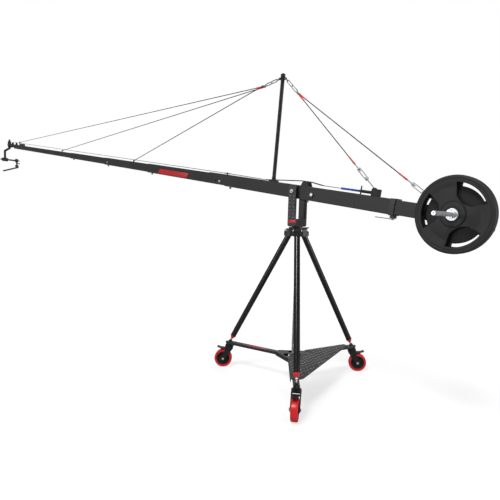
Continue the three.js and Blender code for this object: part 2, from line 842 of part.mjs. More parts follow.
// The pedal's frame is on its hinge, across the fork over the wheel
function brakePedal() {
  const half = pedalWidth / 2;
  const hingeHalf = forkGap / 2 - seatGap;
  const hinge = bar(point(0, -hingeHalf, 0), point(0, hingeHalf, 0), 2 * pedalHingeRadius, smallSides);
  const tread = new THREE.Shape();
  tread.moveTo(0, -pedalThickness / 2);
  tread.lineTo(pedalKnee, pedalKneeRise - pedalThickness / 2);
  tread.lineTo(pedalLength, pedalRise);
  tread.lineTo(pedalLength - pedalThickness / 3, pedalRise + pedalThickness);
  tread.lineTo(pedalKnee, pedalKneeRise + pedalThickness / 2);
  tread.lineTo(0, pedalThickness / 2);
  tread.closePath();
  const shoe = block(pedalShoePlace, pedalShoePlace + pedalShoeLength, -pedalShoeWidth / 2,
    pedalShoeWidth / 2,
    -pedalShoeDepth, 0);
  return join(hinge, slab(tread, -half, half), shoe);
}

armNames.forEach((name, i) => {
  const caster = new THREE.Group();
  caster.position.set(casterRadius * cos(armAngles[i]), casterRadius * sin(armAngles[i]), armBottom);
  caster.rotation.z = radians(casterAngles[i]);
  crane.add(caster);
  addPiece(caster, `caster_fork_${name}`, casterFork(), blackPaint);
  const wheel = new THREE.Group();
  wheel.position.set(casterTrail, 0, -axleDrop);
  caster.add(wheel);
  addPiece(wheel, `wheel_tread_${name}`, wheelTread(), redRubber);
  addPiece(wheel, `wheel_core_${name}`, wheelCore(), blackPlastic);
  const pedal = new THREE.Group();
  pedal.position.set(pedalHingeX, 0, -pedalHingeDrop);
  caster.add(pedal);
  addPiece(pedal, `brake_pedal_${name}`, brakePedal(), blackPlastic);
});

// Yoke: turns on the crown about Z
const yoke = new THREE.Group();
crane.add(yoke);
const yokeBottom = crownTop + seatGap + yokeWasherHeight;
const yokeInner = yokeArmCentre - yokeArmThickness / 2;
const yokeOuter = yokeArmCentre + yokeArmThickness / 2;

function yokeBase() {
  const half = yokeArmWidth / 2;
  const body = block(-half, half, -yokeInner, yokeInner, yokeBottom, yokeBottom + yokeBaseHeight);
  const washer = bar(point(0, 0, crownTop + seatGap), point(0, 0, yokeBottom + seatGap), yokeWasherDiameter);
  const spigot = bar(point(0, 0, crownTop - yokeSpigotLength), point(0, 0, yokeBottom), yokeSpigotDiameter);
  return join(body, washer, spigot);
}

function yokeArm() {
  const bottom = yokeArmBottom;
  const top = pivotHeight + yokeArmTop;
  const outline = roundedRectangle(yokeArmWidth, top - bottom, yokeArmCorner);
  const arm = shifted(slab(outline, -yokeArmThickness / 2, yokeArmThickness / 2, cornerSteps), 0, 0,
    (top + bottom) / 2);
  const holes = [bar(point(0, -yokeArmWidth, pivotHeight), point(0, yokeArmWidth, pivotHeight),
    pivotDiameter + 2 * seatGap)];
  for (let row = 0; row < yokeHoleRows; row += 1) {
    for (const x of [-yokeHoleSpacing / 2, yokeHoleSpacing / 2]) {
      const z = pivotHeight - yokeFirstHole - row * yokeHolePitch;
      holes.push(bar(point(x, -yokeArmThickness, z), point(x, yokeArmThickness, z), yokeHoleDiameter,
        smallSides));
    }
  }
  return cut(arm, ...holes);
}

function pivotBolt() {
  const y = yokeOuter + seatGap;
  const shaft = bar(point(0, -y, pivotHeight), point(0, y, pivotHeight), pivotDiameter);
  const head = (sign, sides) => bar(point(0, sign * y, pivotHeight),
    point(0, sign * (y + pivotHeadHeight), pivotHeight),
    pivotHeadDiameter, sides);
  return join(shaft, head(-1, roundSides), head(1, 6));
}

addPiece(yoke, 'yoke_base', yokeBase(), blackSatin);
addPiece(yoke, 'yoke_arm_near', shifted(yokeArm(), 0, -yokeArmCentre, 0), blackSatin);
addPiece(yoke, 'yoke_arm_far', shifted(yokeArm(), 0, yokeArmCentre, 0), blackSatin);
addPiece(yoke, 'pivot_bolt', pivotBolt(), brightSteel);

const knobZ = pivotHeight - lockKnobDrop;
const knobX = yokeArmWidth / 2 + seatGap;
const tiltKnob = join(
  bar(point(knobX, yokeArmCentre, knobZ), point(knobX + lockKnobLength / 2, yokeArmCentre, knobZ),
    lockKnobDiameter / 2, smallSides),
  bar(point(knobX + lockKnobLength / 3, yokeArmCentre, knobZ),
    point(knobX + lockKnobLength, yokeArmCentre, knobZ),
    lockKnobDiameter, roundSides),
);
addPiece(yoke, 'tilt_lock_knob', tiltKnob, brightSteel);

function panLever() {
  const z = crownTop - crownFlangeHeight / 2;
  const start = crownFlangeDiameter / 2 + seatGap;
  const boss = bar(point(start, 0, z), point(start + panLeverBoss / 2, 0, z), panLeverDiameter, smallSides);
  const grip = bar(point(start + panLeverBoss / 3, 0, z),
    point(start + panLeverBoss / 3 + panLeverLength, 0, z + panLeverTip),
    panLeverDiameter, smallSides, panLeverTip);
  return turnedZ(join(boss, grip), panLeverAngle);
}
addPiece(stand, 'pan_lock_lever', panLever(), blackPlastic);

// Boom: its frame is on the pivot, +X towards the weight, +Z square to the tubes
const boom = new THREE.Group();
boom.position.set(0, 0, pivotHeight);
boom.rotation.y = radians(boomTilt);
crane.add(boom);

const sections = [
  { name: 'main_boom', front: mainFront, rear: mainRear, wall: mainWall },
  { name: 'boom_section_2', front: secondFront, rear: mainFront + sectionOverlap, wall: secondWall },
  { name: 'boom_section_3', front: thirdFront, rear: secondFront + sectionOverlap, wall: outerWall },
  { name: 'boom_section_4', front: fourthFront, rear: thirdFront + sectionOverlap, wall: outerWall },
  { name: 'boom_tip', front: tipFront, rear: fourthFront + sectionOverlap, wall: outerWall },
];
sections.forEach((section, i) => {
  section.height = mainHeight - i * sectionStep;
  section.width = mainWidth - i * sectionStep;
});
const [mainSection, secondSection, thirdSection, , tipSection] = sections;
const topOf = (section) => section.height / 2;

// A box tube whose mouth narrows to carry the next smaller one, with slide pads at its rear
function boxTube(section, next, previous) {
  const { front, rear, wall, width, height } = section;
  const inner = roundedRectangle(width - 2 * wall, height - 2 * wall, boomCorner - wall / 2);
  let tube = run(roundedRectangle(width, height, boomCorner), front, rear);
  if (previous) {
    const fit = 2 * (previous.wall + seatGap);
    const pads = roundedRectangle(previous.width - fit, previous.height - fit, boomCorner);
    tube = join(tube, run(pads, rear - mouthPad, rear));
  }
  tube = cut(tube, run(inner, next ? front + mouthPad : front - overrun, rear + overrun));
  if (next) {
    const mouth = roundedRectangle(next.width + 2 * seatGap, next.height + 2 * seatGap, boomCorner);
    tube = cut(tube, run(mouth, front - overrun, front + mouthPad + overrun));
  }
  return tube;
}

const sideBar = (x, z, halfLength, diameter, sides) => bar(point(x, -halfLength, z), point(x, halfLength, z),
  diameter, sides);

// A tab on the top of a tube that takes the eye of a stay
function stayTab([x, z], top) {
  const tab = new THREE.Shape();
  tab.moveTo(x - anchorRadius, top - outerWall / 2);
  tab.lineTo(x + anchorRadius, top - outerWall / 2);
  tab.absarc(x, z, anchorRadius, 0, Math.PI, false);
  tab.closePath();
  return slab(tab, -anchorThickness / 2, anchorThickness / 2);
}

// A clamp screw under the mouth of a tube
function mouthKnob(section) {
  const x = section.front + mouthKnobBack;
  const z = -section.height / 2;
  return join(
    bar(point(x, 0, z + section.wall / 2), point(x, 0, z - mouthKnobLength / 2), mouthKnobDiameter / 2,
      smallSides),
    bar(point(x, 0, z - mouthKnobLength / 3), point(x, 0, z - mouthKnobLength), mouthKnobDiameter,
      smallSides),
  );
}

function mainBoom() {
  const tube = boxTube(mainSection, secondSection, null);
  const half = mainWidth / 2;
  const bossEnd = yokeInner - seatGap;
  const bosses = [-1, 1].map((sign) => bar(
    point(0, sign * (half - mainWall / 2), 0), point(0, sign * bossEnd, 0), pivotBossDiameter,
  ));
  const top = topOf(mainSection);
  const saddleTop = humpRise - cableDiameter / 2 - seatGap;
  const saddleMiddle = humpPlace;
  const saddle = new THREE.Shape();
  saddle.moveTo(saddleMiddle - saddleLength / 2, top - mainWall / 2);
  saddle.lineTo(saddleMiddle + saddleLength / 2, top - mainWall / 2);
  saddle.lineTo(saddleMiddle + saddleLength / 4, saddleTop);
  saddle.lineTo(saddleMiddle - saddleLength / 4, saddleTop);
  saddle.closePath();
  const saddleSides = [-1, 1].map((sign) => {
    const y = sign * cableSpacing / 2;
    return slab(saddle, y - saddleThickness / 2, y + saddleThickness / 2);
  });
  const bridge = block(saddleMiddle - saddleLength / 6, saddleMiddle + saddleLength / 6, -saddleWidth / 2,
    saddleWidth / 2,
    top - mainWall / 2, top + saddleThickness);
  const bore = sideBar(0, 0, mainWidth, pivotDiameter + 2 * seatGap);
  const wing = bar(point(wingKnobPlace, -half + mainWall / 2, 0),
    point(wingKnobPlace, -half - wingKnobLength, 0),
    wingKnobDiameter / 2, smallSides, wingKnobDiameter);
  return cut(join(tube, ...bosses, ...saddleSides, bridge, wing, mouthKnob(mainSection)), bore);
}

function secondBoom() {
  const tube = boxTube(secondSection, thirdSection, mainSection);
  const plateRear = mainFront - seatGap;
  const top = topOf(secondSection);
  const doubler = block(plateRear - topPlateLength, plateRear, -topPlateWidth / 2, topPlateWidth / 2,
    top - secondWall / 2, top + topPlateThickness);
  const eyeZ = cableGuideRise;
  const post = bar(point(guidePlace, 0, top), point(guidePlace, 0, eyeZ + guideEye), guidePostDiameter,
    smallSides);
  const beam = block(guidePlace - guidePostDiameter / 2, guidePlace + guidePostDiameter / 2,
    -cableSpacing / 2 - guideEye, cableSpacing / 2 + guideEye, eyeZ - guideEye / 2, eyeZ + guideEye / 2);
  const eyes = [-1, 1].map((sign) => {
    const y = sign * cableSpacing / 2;
    return bar(point(guidePlace - guideEye, y, eyeZ), point(guidePlace + guideEye, y, eyeZ),
      cableDiameter + 2 * seatGap, smallSides);
  });
  const hole = sideBar(mainFront - pinHoleBack, -pinHoleDrop, mainWidth, pinHoleDiameter, smallSides + 2);
  return cut(join(tube, doubler, post, beam, mouthKnob(secondSection)), hole, ...eyes);
}

function thirdBoom() {
  const tube = boxTube(thirdSection, sections[3], secondSection);
  return join(tube, stayTab(shortStayEnd, topOf(thirdSection)), mouthKnob(thirdSection));
}

function fourthBoom() {
  return join(boxTube(sections[3], tipSection, thirdSection), mouthKnob(sections[3]));
}

function tipBoom() {
  const tube = boxTube(tipSection, null, sections[3]);
  const top = topOf(tipSection);
  const half = tipSection.width / 2;
  const holes = [];
  for (const [start, count] of tipHoleRuns) {
    for (let i = 0; i < count; i += 1) {
      holes.push(sideBar(start - i * tipHoleInnerPitch, 0, mainWidth, tipHoleDiameter, smallSides));
    }
  }
  const slant = polygon([
    [tipFront - tipSlant, top], [tipFront, top], [tipFront, -top],
  ]);
  const nose = slab(slant, -half, half);
  const noseHollow = slab(slant, -half + outerWall, half - outerWall);
  const cheeks = [-1, 1].map((sign) => {
    const outline = strapOutline(headPinPlace, 0, quadrantHub - outerWall, tipFront + quadrantHub, 0,
      quadrantHub - outerWall);
    const [y0, y1] = sign < 0 ? [-half, -half + outerWall * 2] : [half - outerWall * 2, half];
    return slab(outline, y0, y1);
  });
  const block0 = block(tipBlockPlace - tipBlockLength / 2, tipBlockPlace + tipBlockLength / 2,
    -tipBlockWidth / 2 + quadrantThickness, tipBlockWidth / 2 - quadrantThickness, top - outerWall / 2,
      top + tipBlockHeight);
  const pegTop = point(longStayEnd[0], 0, longStayEnd[1]);
  const pegFoot = point(longStayEnd[0] - (longStayEnd[1] - top) * Math.tan(radians(tipPegLean)), 0,
    top - outerWall / 2);
  const knobHalf = point(0, 0, tipPegDiameter / 2);
  const knob = bar(pegTop.clone().sub(knobHalf), pegTop.clone().add(knobHalf), tipPegDiameter);
  const peg = join(bar(pegFoot, pegTop, tipPegDiameter / 2, smallSides), knob);
  const bore = sideBar(headPinPlace, 0, mainWidth, headPinDiameter + 2 * seatGap, roundSides);
  const tab = stayTab(middleStayEnd, top);
  return cut(join(tube, cut(nose, noseHollow), ...cheeks, block0, peg, tab), ...holes, bore);
}

addPiece(boom, 'main_boom', mainBoom(), blackPaint);
addPiece(boom, 'boom_section_2', secondBoom(), blackPaint);
addPiece(boom, 'boom_section_3', thirdBoom(), blackPaint);
addPiece(boom, 'boom_section_4', fourthBoom(), blackPaint);
addPiece(boom, 'boom_tip', tipBoom(), blackPaint);

// Tail tube inside the main tube, closed by a cap, with the spindle's bore across it
const tailHeight = mainHeight - 2 * (mainWall + seatGap);
const tailWidth = mainWidth - 2 * (mainWall + seatGap);

function tailTube() {
  const outline = roundedRectangle(tailWidth, tailHeight, boomCorner);
  const hollow = roundedRectangle(tailWidth - 2 * tailWall, tailHeight - 2 * tailWall, boomCorner / 2);
  const tube = cut(run(outline, tailFront, tailRear),
    run(hollow, tailFront - overrun, tailRear - tailCapLength));
  const tab = stayTab(upperStayEnd, tailHeight / 2);
  return cut(join(tube, tab),
    sideBar(weightPlace, weightRise, mainWidth, spindleDiameter + 2 * seatGap, roundSides));
}

function tailCollar() {
  const [start, end] = [collarPlace - collarLength, collarPlace];
  const outer = roundedRectangle(mainWidth + 2 * (collarThickness + seatGap),
    mainHeight + 2 * (collarThickness + seatGap), boomCorner);
  const inner = roundedRectangle(mainWidth + 2 * seatGap, mainHeight + 2 * seatGap, boomCorner);
  const low = -mainHeight / 2 - collarThickness;
  const foot = block(start + seatGap, end - seatGap, -collarFootWidth / 2, collarFootWidth / 2,
    low - collarFootDepth, low + seatGap);
  const lip = roundedRectangle(tailWidth + 2 * seatGap, tailHeight + 2 * seatGap, boomCorner);
  const strap = cut(run(outer, start, end), run(inner, start - overrun, mainRear + seatGap),
    run(lip, start, end + overrun));
  return join(strap, foot);
}

// The lever swings about the clamp screw that hangs from the collar's foot
function clampLever() {
  const x = collarPlace - collarLength / 2;
  const z = -mainHeight / 2 - collarThickness - collarFootDepth - seatGap;
  const boss = bar(point(x, 0, z), point(x, 0, z - leverBoss), 2 * leverBoss, smallSides);
  const rod = bar(point(x, 0, z - leverBoss / 2), point(x - leverLength, 0, z - leverBoss / 2 - leverDroop),
    leverDiameter, smallSides);
  return join(boss, rod);
}

addPiece(boom, 'tail_tube', tailTube(), blackPaint);
addPiece(boom, 'tail_collar', tailCollar(), blackPaint);
addPiece(boom, 'clamp_lever', clampLever(), brightSteel);

// Weight plate: a coated disc with three dished grips, each open near the rim
function weightPlate() {
  const [radius, half, bore] = [weightDiameter / 2, weightThickness / 2, weightBore / 2 + seatGap];
  const hub = weightHubDiameter / 2;
  const ridge = radius * gripSlotShare;
  const back = [[bore, -half - weightHubProud], [hub, -half - weightHubProud], [hub + weightHubProud, -half],
    [radius - weightBevel, -half], [radius, -half + weightBevel]];
  const face = [
    [radius, half - weightBevel], [radius - weightRound / 4, half - weightRound / 3],
    [radius - weightRound, half], [ridge + weightRidgeWidth, half], [ridge, half - weightRidge],
    [hub + weightHubProud, half - weightRidge], [hub, half + weightHubProud], [bore, half + weightHubProud],
  ];
  const profile = [...back, ...face, back[0]];
  let disc = turned(profile, plateSides);
  const pockets = [];
  for (let i = 0; i < gripCount; i += 1) {
    const middle = gripFirstAngle + i * 360 / gripCount;
    const at = (angle, share) => [radius * share * cos(middle + angle), radius * share * sin(middle + angle)];
    const pocket = new THREE.Shape();
    pocket.absarc(0, 0, radius * gripOuterShare, radians(middle - gripHalfAngle),
      radians(middle + gripHalfAngle), false);
    const [entryX, entryY] = at(gripEntryAngle, gripInnerShare + gripCornerShare);
    const [apexX, apexY] = at(0, gripInnerShare - gripCornerShare / 3);
    const [exitX, exitY] = at(-gripEntryAngle, gripInnerShare + gripCornerShare);
    pocket.lineTo(entryX, entryY);
    pocket.quadraticCurveTo(apexX, apexY, exitX, exitY);
    pocket.closePath();
    pockets.push(raise(pocket, half - gripDepth, half + overrun + weightHubProud, 2 * endSteps - 2));
    const slot = new THREE.Shape();
    const [low, high] = [radians(middle - gripSlotHalfAngle), radians(middle + gripSlotHalfAngle)];
    slot.absarc(0, 0, radius * gripOuterShare, low, high, false);
    slot.absarc(0, 0, radius * gripSlotShare, high, low, true);
    slot.closePath();
    pockets.push(raise(slot, -half - overrun, 0, 2 * endSteps - 2));
  }
  disc = cut(disc, ...pockets);
  return turnedX(disc, 90);
}

function weightSpindle() {
  const at = (y) => point(weightPlace, y, weightRise);
  const plateBack = -weightOffset + weightThickness / 2 + weightHubProud + seatGap;
  const plateFront = -weightOffset - weightThickness / 2 - weightHubProud - seatGap;
  const shaft = bar(at(tailWidth / 2 + spindleNutHeight), at(-spindleReach), spindleDiameter);
  const nut = bar(at(tailWidth / 2 + seatGap), at(tailWidth / 2 + spindleNutHeight), spindleNutDiameter, 6);
  const flange = bar(at(-tailWidth / 2 - seatGap), at(plateBack), spindleFlangeDiameter);
  const sleeve = bar(at(plateBack), at(plateFront), weightBore);
  const collar = bar(at(plateFront), at(plateFront - spindleCollarHeight), spindleCollarDiameter);
  const step = bar(at(plateFront - spindleCollarHeight),
    at(plateFront - spindleCollarHeight - spindleStepHeight), spindleStepDiameter);
  const centre = bar(at(-spindleReach + spindleCentreDepth), at(-spindleReach - overrun), spindleCentreHole,
    smallSides);
  return cut(join(shaft, nut, flange, sleeve, collar, step), centre);
}

addPiece(boom, 'weight_plate', shifted(weightPlate(), weightPlace, -weightOffset, weightRise), plateRubber);
addPiece(boom, 'weight_spindle', weightSpindle(), brightSteel);

// Mast: foot block on the main tube, tube, cap with a lug on each side
const mainTop = topOf(mainSection);
const mastFoot = point(mastPlace, 0, mainTop + seatGap);
const mastTop = point(mastTopPlace, 0, mastTopRise);
const mastLine = mastTop.clone().sub(mastFoot).normalize();
const lugCentre = mastTop.clone().addScaledVector(mastLine, mastCapHeight / 3);
const frontLug = point(lugCentre.x - mastLugReach, 0, lugCentre.z - mastLugHeight / 3);
const rearLug = point(lugCentre.x + mastLugReach, 0, lugCentre.z - mastLugHeight / 3);

function mast() {
  const x = mastPlace;
  const foot = block(x - mastFootLength / 2, x + mastFootLength / 2, -mastFootWidth / 2, mastFootWidth / 2,
    mainTop + seatGap, mainTop + seatGap + mastFootHeight / 3);
  const start = mastFoot.clone().addScaledVector(mastLine, mastWall);
  const sleeve = bar(start, mastFoot.clone().addScaledVector(mastLine, mastFootHeight),
    mastDiameter + 2 * mastWall);
  const tube = bar(start, mastTop, mastDiameter);
  const capTop = mastTop.clone().addScaledVector(mastLine, mastCapHeight);
  const cap = bar(mastTop, capTop, mastCapDiameter);
  const dome = bar(capTop, capTop.clone().addScaledVector(mastLine, mastCapHeight / 5), mastCapDiameter,
    roundSides, mastDiameter / 2);
  const lug = strapOutline(frontLug.x, frontLug.z, mastLugHeight / 3, rearLug.x, rearLug.z,
    mastLugHeight / 3 - seatGap / 3);
  const lugs = slab(lug, -mastLugThickness / 2, mastLugThickness / 2);
  const bores = [frontLug, rearLug].map((centre) => sideBar(centre.x, centre.z, mastDiameter,
    riggingPinDiameter + 2 * seatGap, smallSides));
  return cut(join(foot, sleeve, tube, cap, dome, lugs), ...bores);
}
addPiece(boom, 'mast', mast(), blackSatin);

const sleeveSpread = sleeveDiameter + 2 * seatGap;

// A long link, seen from the side as two bars with round ends, along a line in the boom's plane
function chainLink(from, to) {
  const middle = from.clone().add(to).multiplyScalar(1 / 2);
  const heading = THREE.MathUtils.radToDeg(Math.atan2(to.z - from.z, to.x - from.x));
  const length = from.distanceTo(to) + ringTube;
  const outer = roundedRectangle(length, ringWidth, ringWidth / 2 - seatGap);
  const inner = roundedRectangle(length - 2 * ringTube, ringWidth - 2 * ringTube,
    ringWidth / 2 - ringTube - seatGap);
  outer.holes.push(inner);
  const link = slab(outer, -ringTube / 2, ringTube / 2, cornerSteps);
  return shifted(turnedY(link, -heading), middle.x, middle.y, middle.z);
}

// A shackle round the mast's lug, links, and the ferrule in which the stays meet
function rigging(lug, endX, endZ, linkCount) {
  const end = point(endX, 0, endZ);
  const line = end.clone().sub(lug).normalize();
  const start = lug.clone().addScaledVector(line, ringLength / 2);
  const gap = mastLugThickness / 2 + seatGap;
  const arms = [-1, 1].map((sign) => bar(
    point(lug.x, sign * (gap + ringTube / 2), lug.z), point(start.x, sign * (gap + ringTube / 2), start.z),
      ringTube, smallSides,
  ));
  const pinHalf = gap + ringTube;
  const pin = sideBar(lug.x, lug.z, pinHalf, riggingPinDiameter, smallSides);
  const bow = sideBar(start.x, start.z, pinHalf, ringTube, smallSides);
  const ferruleStart = end.clone().addScaledVector(line, -ferruleLength);
  const links = [];
  for (let i = 0; i < linkCount; i += 1) {
    const from = start.clone().lerp(ferruleStart, i / linkCount);
    const to = start.clone().lerp(ferruleStart, (i + 1) / linkCount);
    links.push(chainLink(from, to));
  }
  const ferrule = bar(ferruleStart, end, ferruleDiameter, smallSides);
  const spreader = sideBar(end.x, end.z, sleeveSpread + sleeveDiameter / 2, ferruleDiameter, smallSides);
  return join(...arms, pin, bow, ...links, ferrule, spreader);
}
addPiece(boom, 'front_rigging', rigging(frontLug, riggingEndX, riggingEndZ, 2), blackSatin);
addPiece(boom, 'rear_rigging', rigging(rearLug, rearRiggingEndX, rearRiggingEndZ, 2), brightSteel);

// A stay starts at the spreader in its sleeve; spread keeps neighbouring sleeves apart
function stayLine(endX, endZ, target, spread) {
  const goal = point(target[0], 0, target[1]);
  const from = point(endX, 0, endZ);
  const line = goal.clone().sub(from).normalize();
  const start = from.clone().addScaledVector(line, ferruleDiameter / 2 + seatGap);
  start.y = spread;
  return { start, goal, line: goal.clone().sub(start).normalize() };
}

function stay(start, end, endSleeve) {
  const length = start.distanceTo(end);
  const [thick, thin] = [sleeveDiameter / 2, wireDiameter / 2];
  return stepped(start, end, [
    [thick, 0], [thick, sleeveLength], [thin, sleeveLength + sleeveDiameter],
    [thin, length - endSleeve - sleeveDiameter], [thick, length - endSleeve], [thick, length],
  ], wireSides + 2);
}

const frontStays = [
  ['front_stay_long', longStayEnd, 0],
  ['front_stay_middle', middleStayEnd, sleeveSpread],
  ['front_stay_short', shortStayEnd, -sleeveSpread],
];
for (const [name, target, spread] of frontStays) {
  const route = stayLine(riggingEndX, riggingEndZ, target, spread);
  const near = name === 'front_stay_long' ? tipPegDiameter / 2 + 3 * seatGap : anchorRadius + seatGap;
  const end = route.goal.clone().addScaledVector(route.line, -near);
  addPiece(boom, name, stay(route.start, end, sleeveLength / 2), steelWire);
}

// Rear stays end in a sleeve above an open turnbuckle whose rod hooks into the anchor
const rearStays = [
  ['upper', upperStayEnd, sleeveSpread / 2, upperTurnbuckleShare],
  ['lower', lowerStayEnd, -sleeveSpread / 2, lowerTurnbuckleShare],
];

function turnbuckle(middle, line, rodBefore, rodAfter) {
  const half = turnbuckleLength / 2;
  const outer = roundedRectangle(turnbuckleLength, turnbuckleWidth, turnbuckleNut / 3);
  const inner = roundedRectangle(turnbuckleLength - 2 * turnbuckleNut, turnbuckleWidth - 2 * turnbuckleBar,
    turnbuckleBar / 4);
  outer.holes.push(inner);
  const body = slab(outer, -turnbuckleBar / 2, turnbuckleBar / 2, cornerSteps);
  const nuts = [-1, 1].map((sign) => bar(
    point(sign * (half - turnbuckleNut), 0, 0), point(sign * half, 0, 0), turnbuckleNut, smallSides,
  ));
  const rods = [
    bar(point(-half - rodBefore, 0, 0), point(-half + 2 * turnbuckleNut, 0, 0), turnbuckleRod, smallSides),
    bar(point(half - 2 * turnbuckleNut, 0, 0), point(half + rodAfter, 0, 0), turnbuckleRod, smallSides),
  ];
  const turn = new THREE.Quaternion().setFromUnitVectors(AXIS_X, line);
  const matrix = new THREE.Matrix4().compose(middle, turn, point(1, 1, 1));
  return moved(join(body, ...nuts, ...rods), matrix);
}

for (const [name, target, spread, share] of rearStays) {
  const route = stayLine(rearRiggingEndX, rearRiggingEndZ, target, spread);
  const middle = route.start.clone().lerp(route.goal, share);
  const near = anchorRadius + seatGap;
  const rodAfter = middle.distanceTo(route.goal) - turnbuckleLength / 2 - near;
  const rodBefore = sleeveLength / 2;
  const end = middle.clone().addScaledVector(route.line, -turnbuckleLength / 2 - rodBefore - seatGap);
  addPiece(boom, `rear_stay_${name}`, stay(route.start, end, sleeveLength), steelWire);
  addPiece(boom, `turnbuckle_${name}`, turnbuckle(middle, route.line, rodBefore, rodAfter), brightSteel);
}

// Levelling cables: two run over the boom, over the saddle's hump, and end in blue sleeves
const quadrantRadius = cableRise - cableDiameter / 2 - 2 * seatGap;

function cableRoute(y) {
  const wrap = [];
  for (let i = cableWrapSteps; i >= 0; i -= 1) {
    const angle = i * cableWrapAngle / cableWrapSteps;
    wrap.push([headPinPlace - cableRise * sin(angle), cableRise * cos(angle)]);
  }
  const places = [
    ...wrap, [guidePlace, cableGuideRise], [cableLowPlace, cableLowRise],
    [humpPlace - humpLength / 2, humpRise], [humpPlace + humpLength / 2, humpRise],
    [cableDropPlace, cableRearRise], [cableTiePlace, cableRearRise],
  ];
  return places.map(([x, z]) => point(x, y, z));
}

function levelCables() {
  const shapes = [];
  for (const sign of [-1, 1]) {
    const y = sign * cableSpacing / 2;
    shapes.push(wire(cableRoute(y), cableDiameter));
    const sleeveEnd = blueSleeveStart + blueSleeveLength;
    shapes.push(bar(point(blueSleeveStart, y, cableRearRise), point(sleeveEnd, y, cableRearRise),
      blueSleeveDiameter, smallSides));
  }
  const half = cableSpacing / 2 + blueSleeveDiameter / 2;
  shapes.push(block(cableTiePlace - blueSleeveDiameter, cableTiePlace, -half, half,
    cableRearRise - blueSleeveDiameter / 2, cableRearRise + blueSleeveDiameter / 2));
  return join(...shapes);
}
addPiece(boom, 'level_cables', levelCables(), steelWire);

function cableTensioner() {
  const [x, half] = [tensionBoxPlace, tensionBoxWidth / 2];
  const box = block(x - tensionBoxLength / 2, x + tensionBoxLength / 2, -half, half, mainTop + seatGap,
    mainTop + tensionBoxHeight);
  const barrelStart = cableTiePlace + seatGap;
  const barrel = bar(point(barrelStart, 0, cableRearRise),
    point(barrelStart + tensionBarrelLength, 0, cableRearRise), tensionBarrelDiameter);
  const rod = bar(point(barrelStart, 0, cableRearRise), point(x, 0, cableRearRise),
    tensionBarrelDiameter / 2, smallSides);
  const postX = barrelStart + tensionPostDiameter / 2;
  const post = bar(point(postX, 0, mainTop + seatGap),
    point(postX, 0, mainTop + tensionPostHeight + tensionBarrelDiameter),
    tensionPostDiameter, smallSides);
  const eye = sideBar(lowerStayEnd[0], lowerStayEnd[1], tensionBoxWidth / 3, 2 * anchorRadius, smallSides);
  return join(box, barrel, rod, post, eye);
}
addPiece(boom, 'cable_tensioner', cableTensioner(), blackPlastic);

// Camera head: its frame stays level on the pin through the boom's tip
const tipX = headPinPlace * cos(boomTilt);
const tipZ = pivotHeight - headPinPlace * sin(boomTilt);
const head = new THREE.Group();
head.position.set(tipX, 0, tipZ);
crane.add(head);
const cheekY = tipSection.width / 2 + quadrantGap;

function headBracket() {
  const plates = [-1, 1].map((sign) => {
    const [y0, y1] = sign < 0 ? [-cheekY - quadrantThickness, -cheekY] : [cheekY, cheekY + quadrantThickness];
    const arc = new THREE.Shape();
    arc.absarc(0, 0, quadrantHub, radians(200), radians(330), false);
    arc.absarc(0, 0, quadrantRadius, radians(32), radians(150), false);
    arc.lineTo(headAxisX, quadrantRadius);
    arc.lineTo(headAxisX, headSleeveBottom + quadrantHub);
    arc.closePath();
    return slab(arc, y0, y1, 2 * endSteps);
  });
  const pin = sideBar(0, 0, cheekY + quadrantThickness, headPinDiameter, roundSides);
  const pinHeads = sideBar(0, 0, cheekY + quadrantThickness + headPinHeadHeight, headPinHead, roundSides);
  const pinGap = sideBar(0, 0, cheekY + quadrantThickness / 2, headPinHead + overrun, roundSides);
  const sleeve = bar(point(headAxisX, 0, headSleeveBottom), point(headAxisX, 0, headSleeveTop),
    headSleeveDiameter);
  const web = block(headAxisX, headAxisX + headSleeveDiameter, -cheekY - quadrantThickness,
    cheekY + quadrantThickness,
    headSleeveBottom + quadrantHub, quadrantRadius);
  const bore = bar(point(headAxisX, 0, headSleeveBottom - overrun),
    point(headAxisX, 0, headSleeveTop + overrun), headBore + 2 * seatGap);
  const knob = bar(point(headAxisX, headSleeveDiameter / 2 - seatGap,
    headSleeveBottom + sideKnobDiameter / 2),
    point(headAxisX, headSleeveDiameter / 2 + sideKnobLength, headSleeveBottom + sideKnobDiameter / 2),
      sideKnobDiameter, smallSides);
  return cut(join(...plates, cut(pinHeads, pinGap), pin, sleeve, web, knob), bore);
}
addPiece(head, 'head_bracket', headBracket(), blackSatin);

// Hanging arm: spindle in the sleeve, knob on top, elbow to the side and a long drop
function hangingArm() {
  const x = headAxisX;
  const spindleTop = headSleeveTop + seatGap;
  const spindle = bar(point(x, 0, headSleeveBottom - headBore), point(x, 0, spindleTop + seatGap), headBore);
  const knob = bar(point(x, 0, spindleTop), point(x, 0, spindleTop + headKnobHeight), headKnobDiameter,
    smallSides);
  const collarZ = headSleeveBottom - seatGap;
  const collar = bar(point(x, 0, collarZ), point(x, 0, collarZ - headBore), headCollarDiameter);
  const elbow = point(x, -hangArmOffset, headSleeveBottom - hangElbowDrop);
  const shoulder = point(x, 0, collarZ - hangArmDiameter / 2);
  const low = point(x, -hangArmOffset, headSleeveBottom - hangArmDrop);
  const upper = bar(shoulder, elbow, hangArmDiameter, roundSides);
  const drop = bar(elbow, low, hangArmDiameter, roundSides);
  const knuckle = bar(point(x, low.y - knuckleLength / 2, low.z), point(x, low.y + knuckleLength / 2, low.z),
    knuckleDiameter);
  const pointStart = low.y - knuckleLength / 2;
  const handle = bar(point(x, pointStart, low.z), point(x, pointStart - knucklePoint, low.z), hangArmDiameter,
    smallSides, hangArmDiameter / 3);
  const bore = bar(point(x, low.y, low.z), point(x, low.y + knuckleLength, low.z),
    crossBarDiameter + 2 * seatGap);
  return cut(join(spindle, knob, collar, upper, ball(elbow, hangArmDiameter, roundSides), drop, knuckle,
    handle), bore);
}
addPiece(head, 'hanging_arm', hangingArm(), blackSatin);

